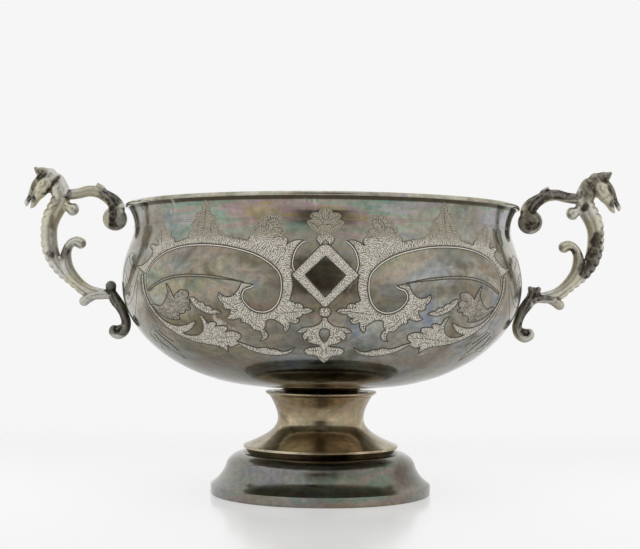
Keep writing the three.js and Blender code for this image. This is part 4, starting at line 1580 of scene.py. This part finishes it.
# Soft brown tone and painted shade on the heads, given as the stains are
HORSE_TONE_AND_SHADE = {
    "left": [
        [34.4, 13.4, 3.2, 1.5, 0.9], [37.6, 8.6, 1.4, 4.2, 0.8], [28.0, 0.4, 2.6, 2.2, 0.35],
        [29.6, -7.4, 1.2, 4.0, 0.55], [26.4, -21.0, 3.6, 2.2, 0.35], [27.0, 9.0, 1.8, 3.2, 0.3],
    ],
    "right": [
        [28.0, 8.2, 3.2, 5.0, 1.25], [34.0, 13.0, 4.0, 2.6, 1.2], [38.0, 8.0, 2.2, 4.4, 1.0],
        [32.2, 6.4, 1.5, 3.0, -1.0], [34.6, 3.6, 1.8, 1.8, -0.8],
    ],
}
SCROLL_STAINS = {
    "left": [
        [25.2, -18.4, 1.9, 1.9, 1.1], [24.4, -22.0, 1.4, 2.0, 0.5], [17.2, -15.8, 0.9, 1.2, 0.8],
        [26.4, -21.6, 1.6, 1.6, 0.4],
    ],
    "right": [
        [25.6, -20.4, 1.2, 3.6, 0.9], [25.0, -24.4, 1.6, 2.0, 0.8], [21.6, -16.8, 1.6, 0.9, 0.8],
        [18.0, -13.6, 1.4, 0.8, 0.3],
    ],
}
ARM_STAINS = {
    "left": [
        [8.4, 4.4, 3.0, 2.0, 1.0], [5.2, 2.2, 2.6, 2.8, 1.0], [5.6, -3.4, 1.5, 5.2, 1.1],
        [3.4, -8.0, 2.2, 1.4, 0.8], [23.4, 4.0, 1.4, 2.2, 0.7], [12.6, 6.4, 1.6, 1.0, 0.4],
        [9.2, -5.6, 1.9, 3.4, -0.9], [16.0, 4.8, 4.0, 2.4, -0.4], [2.0, -4.0, 1.6, 3.0, -0.3],
    ],
    "right": [
        [19.6, 5.2, 4.4, 1.8, 0.9], [14.4, 6.2, 4.0, 1.8, 0.85], [9.6, 5.2, 3.2, 2.2, 0.9],
        [5.6, 2.0, 3.0, 3.0, 0.9], [5.0, -5.4, 4.0, 4.0, 0.75], [17.0, 2.8, 5.0, 0.9, -0.5],
        [24.4, 4.4, 1.2, 1.8, 0.8],
    ],
}
BRACKET_STAINS = {
    "left": [
        [6.6, -32.4, 2.8, 2.4, 1.0], [4.8, -36.2, 2.2, 2.8, 1.0], [3.0, -41.5, 2.4, 4.2, 1.0],
        [0.6, -47.0, 3.0, 3.8, 1.2], [3.4, -49.6, 3.0, 2.0, 1.2], [13.0, -36.6, 5.0, 2.4, -0.9],
        [4.8, -52.6, 2.8, 0.9, -0.9], [4.0, -38.8, 0.8, 1.1, -0.7],
    ],
    "right": [
        [6.4, -32.2, 2.2, 2.0, 0.75], [4.8, -36.4, 2.4, 2.2, 0.7], [2.8, -42.0, 2.2, 4.0, 0.95],
        [0.8, -46.6, 1.8, 3.2, 0.9], [3.0, -49.4, 1.7, 1.2, 1.2], [2.2, -52.8, 3.4, 1.0, -1.0],
        [11.0, -35.2, 5.0, 1.4, 0.9], [13.0, -38.0, 5.0, 1.0, -0.8],
    ],
}

# The chased lines and hollows, in the handle's plane
# Painted shadow along the strap line, stronger on the left head
STRAP_SHADOW = {"left": 1.0, "right": 0.3}
STRAP = [[27.4, 11.0], [29.0, 8.8], [30.6, 6.4], [32.0, 4.4]]
FACE_LINE = [[34.4, 11.4], [36.2, 8.6], [38.0, 5.4], [39.6, 3.6]]
CHEEK = [[33.2, 4.2], [35.4, 5.4], [36.6, 4.4], [37.0, 2.8]]
EYE = [33.9, 8.4]
NOSTRIL = [39.6, 3.0]
EAR_HOLLOW = [[34.6, 12.2], [36.6, 14.4]]
THUMB_HOOK = [[19.2, -16.6], [20.6, -15.9], [21.8, -16.8], [22.6, -18.6], [22.9, -21.6]]
LEAF_STEP = [[12.6, 9.0], [10.6, 7.0], [8.0, 6.6], [5.4, 4.6]]
LEAF_VEIN = [[11.4, 7.2], [8.4, 5.0], [5.6, 2.4], [4.0, -0.4]]
BRACKET_RIB = [[6.2, -34.0], [4.6, -37.4], [2.4, -41.0], [0.9, -44.4], [0.4, -47.4]]
BRACKET_CURL_CENTRE = [2.9, -49.6]
SPUR_LINE = [[16.0, -36.0], [14.2, -37.4], [12.0, -37.6]]

# The mane is cut in tufts, and the back in scales between two shares of its length
MANE_TUFTS = 7
TUFT = (1.1, -1.9)
BACK_SCALES = 15
SCALES_FROM = 0.16
SCALES_TO = 0.94

# A scale's cut starts outside the edge of the back and ends inside it, by these shares of the
# half width. It slants back, and bends.
SCALE_OUTSIDE = 1.3
SCALE_INSIDE = 0.55
SCALE_SLANT = 0.9
SCALE_BEND = 0.3


# Cuts the scales of the back: short slanting cuts from its outer edge, evenly spaced
def cut_scales(skin):
    back = through(HORSE_BACK, 12)
    centres = back[:, :2]
    ways = along_line(centres)
    lengths = np.cumsum(np.linalg.norm(np.diff(centres, axis=0), axis=1))
    for share in np.linspace(SCALES_FROM, SCALES_TO, BACK_SCALES):
        index = int(np.searchsorted(lengths, lengths[-1] * share))
        way = ways[index]
        outward = np.array([-way[1], way[0]]) * back[index, 2]
        edge = centres[index] + outward * SCALE_OUTSIDE
        inner = centres[index] + outward * SCALE_INSIDE - way * SCALE_SLANT
        bend = (edge + inner) / 2 - way * SCALE_BEND
        skin.groove([edge, bend, inner], width=0.62, depth=0.42, stain_and_shade=0.12)


# Cuts the mane: short strokes that fan out from the crest
def cut_mane(skin):
    for root in through(HORSE_MANE, MANE_TUFTS)[::4, :2]:
        skin.groove([root, root + TUFT], width=0.4, depth=0.16, stain_and_shade=0.06)


def horse_body(side):
    casting = Casting(HORSE_BACK, HORSE_HEAD, HORSE_MANE, HORSE_CHEST)
    casting.limb(HORSE_EAR, depth=1.2, lean=0.8)
    casting.limb(HORSE_EAR, depth=-1.2, lean=-0.8)
    cutter = mouth_cutter()
    skin = casting.fused(f"{side}_horse", cutter)
    bpy.data.objects.remove(cutter)
    cut_scales(skin)
    cut_mane(skin)
    # The strap line's darkening is a painted shadow
    skin.groove(STRAP, width=0.8, depth=0.3, stain_and_shade=STRAP_SHADOW[side])
    # The face line's darkening is painted shade, on the side of the face that turns away
    skin.groove(FACE_LINE, width=1.5, depth=0.45, stain_and_shade=0.75)
    skin.groove(CHEEK, width=0.55, depth=0.3, stain_and_shade=0.25)
    skin.groove(EAR_HOLLOW, width=0.5, depth=0.3, stain_and_shade=0.1)
    skin.dimple(EYE, radius=0.6, depth=0.4, stain_and_shade=0.35)
    skin.dimple(NOSTRIL, radius=0.45, depth=0.3, stain_and_shade=0.5)
    return skin.finished(HORSE_STAINS[side], HORSE_TONE_AND_SHADE[side])


def thumb_scroll(side):
    skin = Casting(THUMB_SCROLL, THUMB_WEB).fused(f"{side}_thumb_curl")
    skin.groove(THUMB_HOOK, width=0.45, depth=0.2, stain_and_shade=0.15)
    return skin.finished(SCROLL_STAINS[side])


# A spiral about a centre, wound inward, as points in the handle's plane
def spiral(centre, outer, inner, start, turns):
    share = np.linspace(0, 1, 25)[:, None]
    angle = math.radians(start) + 2 * math.pi * turns * share
    return centre + (outer + (inner - outer) * share) * np.hstack([np.cos(angle), np.sin(angle)])


def rim_arm(side):
    casting = Casting(RIM_ARM, ARM_LEAF)
    casting.boss(ARM_VOLUTE, VOLUTE_RADIUS, VOLUTE_HALF_DEPTH, VOLUTE_FACE)
    skin = casting.fused(f"{side}_arm")
    roll = spiral(ARM_VOLUTE, outer=3.7, inner=0.9, start=70, turns=-1.4)
    skin.groove(roll, width=0.6, depth=0.12, stain_and_shade=0.05)
    skin.groove(LEAF_STEP, width=0.5, depth=0.3, stain_and_shade=0.12)
    skin.groove(LEAF_VEIN, width=0.45, depth=0.1, stain_and_shade=0.05)
    return skin.finished(ARM_STAINS[side])


def bowl_bracket(side):
    casting = Casting(*BRACKET_TOP[side], BRACKET_HUG, BRACKET_SPUR, BRACKET_CURL)
    skin = casting.fused(f"{side}_bracket")
    skin.groove(BRACKET_RIB, width=0.5, depth=0.12, stain_and_shade=0.05)
    roll = spiral(BRACKET_CURL_CENTRE, outer=1.7, inner=0.5, start=160, turns=-1.0)
    skin.groove(roll, width=0.4, depth=0.3, stain_and_shade=0.2)
    skin.groove(SPUR_LINE, width=0.4, depth=0.25, stain_and_shade=0.15)
    return skin.finished(BRACKET_STAINS[side])


CASTINGS = [
    ("horse_body", horse_body, PALE_CASTING, "pale_casting"),
    ("thumb_scroll", thumb_scroll, PALE_CASTING, "pale_casting"),
    ("rim_arm", rim_arm, DARK_CASTING, "oxidised_casting"),
    ("bowl_bracket", bowl_bracket, DARK_CASTING, "oxidised_casting"),
]


# The right handle, and the same one turned half round for the left
for side, turn in (("right", 0), ("left", math.pi)):
    for node, make, material, slot in CASTINGS:
        piece = make(side)
        piece.data.transform(Matrix.Rotation(turn, 4, "Z"))
        seat(piece, material, slot, f"{side}_{node}")


# Floor, light and camera

TABLE_HALF = 263
TABLE_CORNER = 12
CORNER_STEPS = 8
TABLE_GREY = 0.36
TABLE_ROUGHNESS = 0.16
TABLE_SPECULAR = 0.1
TABLE_GLOW = 0.46
TABLE_FAR_GLOW = 0.32

# The table's glow starts to weaken at one distance behind the bowl's axis, and ends at another
GLOW_FROM = -60
GLOW_TO = 190

SCREEN_COLOUR = (0.055, 0.045, 0.03)
SKY_GREY = 0.92


# A white table that is lit from below, less at its far side, with rounded corners
def floor():
    inner = TABLE_HALF - TABLE_CORNER
    corners = []
    for x, y, start in ((inner, inner, 0), (-inner, inner, 90), (-inner, -inner, 180), (inner, -inner, 270)):
        for step in range(CORNER_STEPS + 1):
            angle = math.radians(start + 90 * step / CORNER_STEPS)
            corners.append((x + TABLE_CORNER * math.cos(angle), y + TABLE_CORNER * math.sin(angle), 0))
    slab = new_object("table", corners, [tuple(range(len(corners)))])
    slab.data.transform(Matrix.Scale(MM, 4))
    finish = Finish("white_table", metallic=0.0, roughness=TABLE_ROUGHNESS)
    finish.paint({
        "Base Color": (TABLE_GREY,) * 3, "Specular IOR Level": TABLE_SPECULAR, "Emission Color": (1, 1, 1),
        "Emission Strength": finish.span(
            finish.along("Y"), GLOW_FROM * MM, GLOW_TO * MM, TABLE_GLOW, TABLE_FAR_GLOW,
        ),
    })
    slab.data.materials.append(finish.material)


# Dark parts of the light tent, which the polished front mirrors: the slit in which the camera
# stands, and the weaker light around it. Sizes are in millimetres from the camera's line.
SLIT = {"distance": 760, "core": 80, "edge": 330, "bottom": -150, "top": 580, "fade": 220, "share": 0.88}
DIMNESS = {
    "distance": 1000, "core": 0, "edge": 1250, "bottom": -500, "top": 1700, "fade": 1100, "share": 0.4,
}


def dark_screen(name, size):
    edge = size["edge"]
    corners = [(-edge, "bottom"), (-edge, "top"), (edge, "top"), (edge, "bottom")]
    verts = [(x, -size["distance"], size[level]) for x, level in corners]
    screen = new_object(name, verts, [(0, 1, 2, 3)])
    screen.data.transform(Matrix.Scale(MM, 4))
    finish = Finish(name, metallic=0.0, roughness=1.0)
    from_middle = finish.worked_out("ABSOLUTE", finish.along("X"))
    sides = finish.span(from_middle, size["core"] * MM, edge * MM, size["share"], 0.0)
    top = finish.span(finish.along("Z"), (size["top"] - size["fade"]) * MM, size["top"] * MM, 1.0, 0.0)
    blend = finish.node("ShaderNodeMixShader", {
        0: finish.product(sides, top), 1: finish.node("ShaderNodeBsdfTransparent", {}),
        2: finish.node("ShaderNodeEmission", {"Color": SCREEN_COLOUR}),
    })
    feed(finish.tree, finish.tree.nodes["Material Output"].inputs["Surface"], blend)
    screen.data.materials.append(finish.material)
    screen.visible_camera = False
    screen.visible_shadow = False


def world():
    sky = bpy.data.worlds.new("studio")
    bpy.context.scene.world = sky
    sky.use_nodes = True
    background = sky.node_tree.nodes["Background"]
    feed(sky.node_tree, background.inputs["Color"], (SKY_GREY,) * 3)
    feed(sky.node_tree, background.inputs["Strength"], 1.0)


def camera():
    lens = bpy.data.cameras.new("camera")
    lens.sensor_width = SENSOR
    lens.lens = FOCAL_PIXELS * SENSOR / PICTURE_WIDTH
    lens.clip_start = CAMERA_NEAREST * MM
    view = linked("camera", lens)
    turn = (
        Matrix.Rotation(math.radians(CAMERA_PAN), 4, "Z")
        @ Matrix.Rotation(math.radians(90 + CAMERA_TILT), 4, "X")
        @ Matrix.Rotation(math.radians(CAMERA_ROLL), 4, "Z")
    )
    view.matrix_world = Matrix.Translation((0, -CAMERA_BACK * MM, CAMERA_HEIGHT * MM)) @ turn
    bpy.context.scene.camera = view


floor()
dark_screen("dark_slit", SLIT)
dark_screen("dim_front", DIMNESS)
world()
camera()
bpy.context.scene.view_settings.view_transform = "Standard"
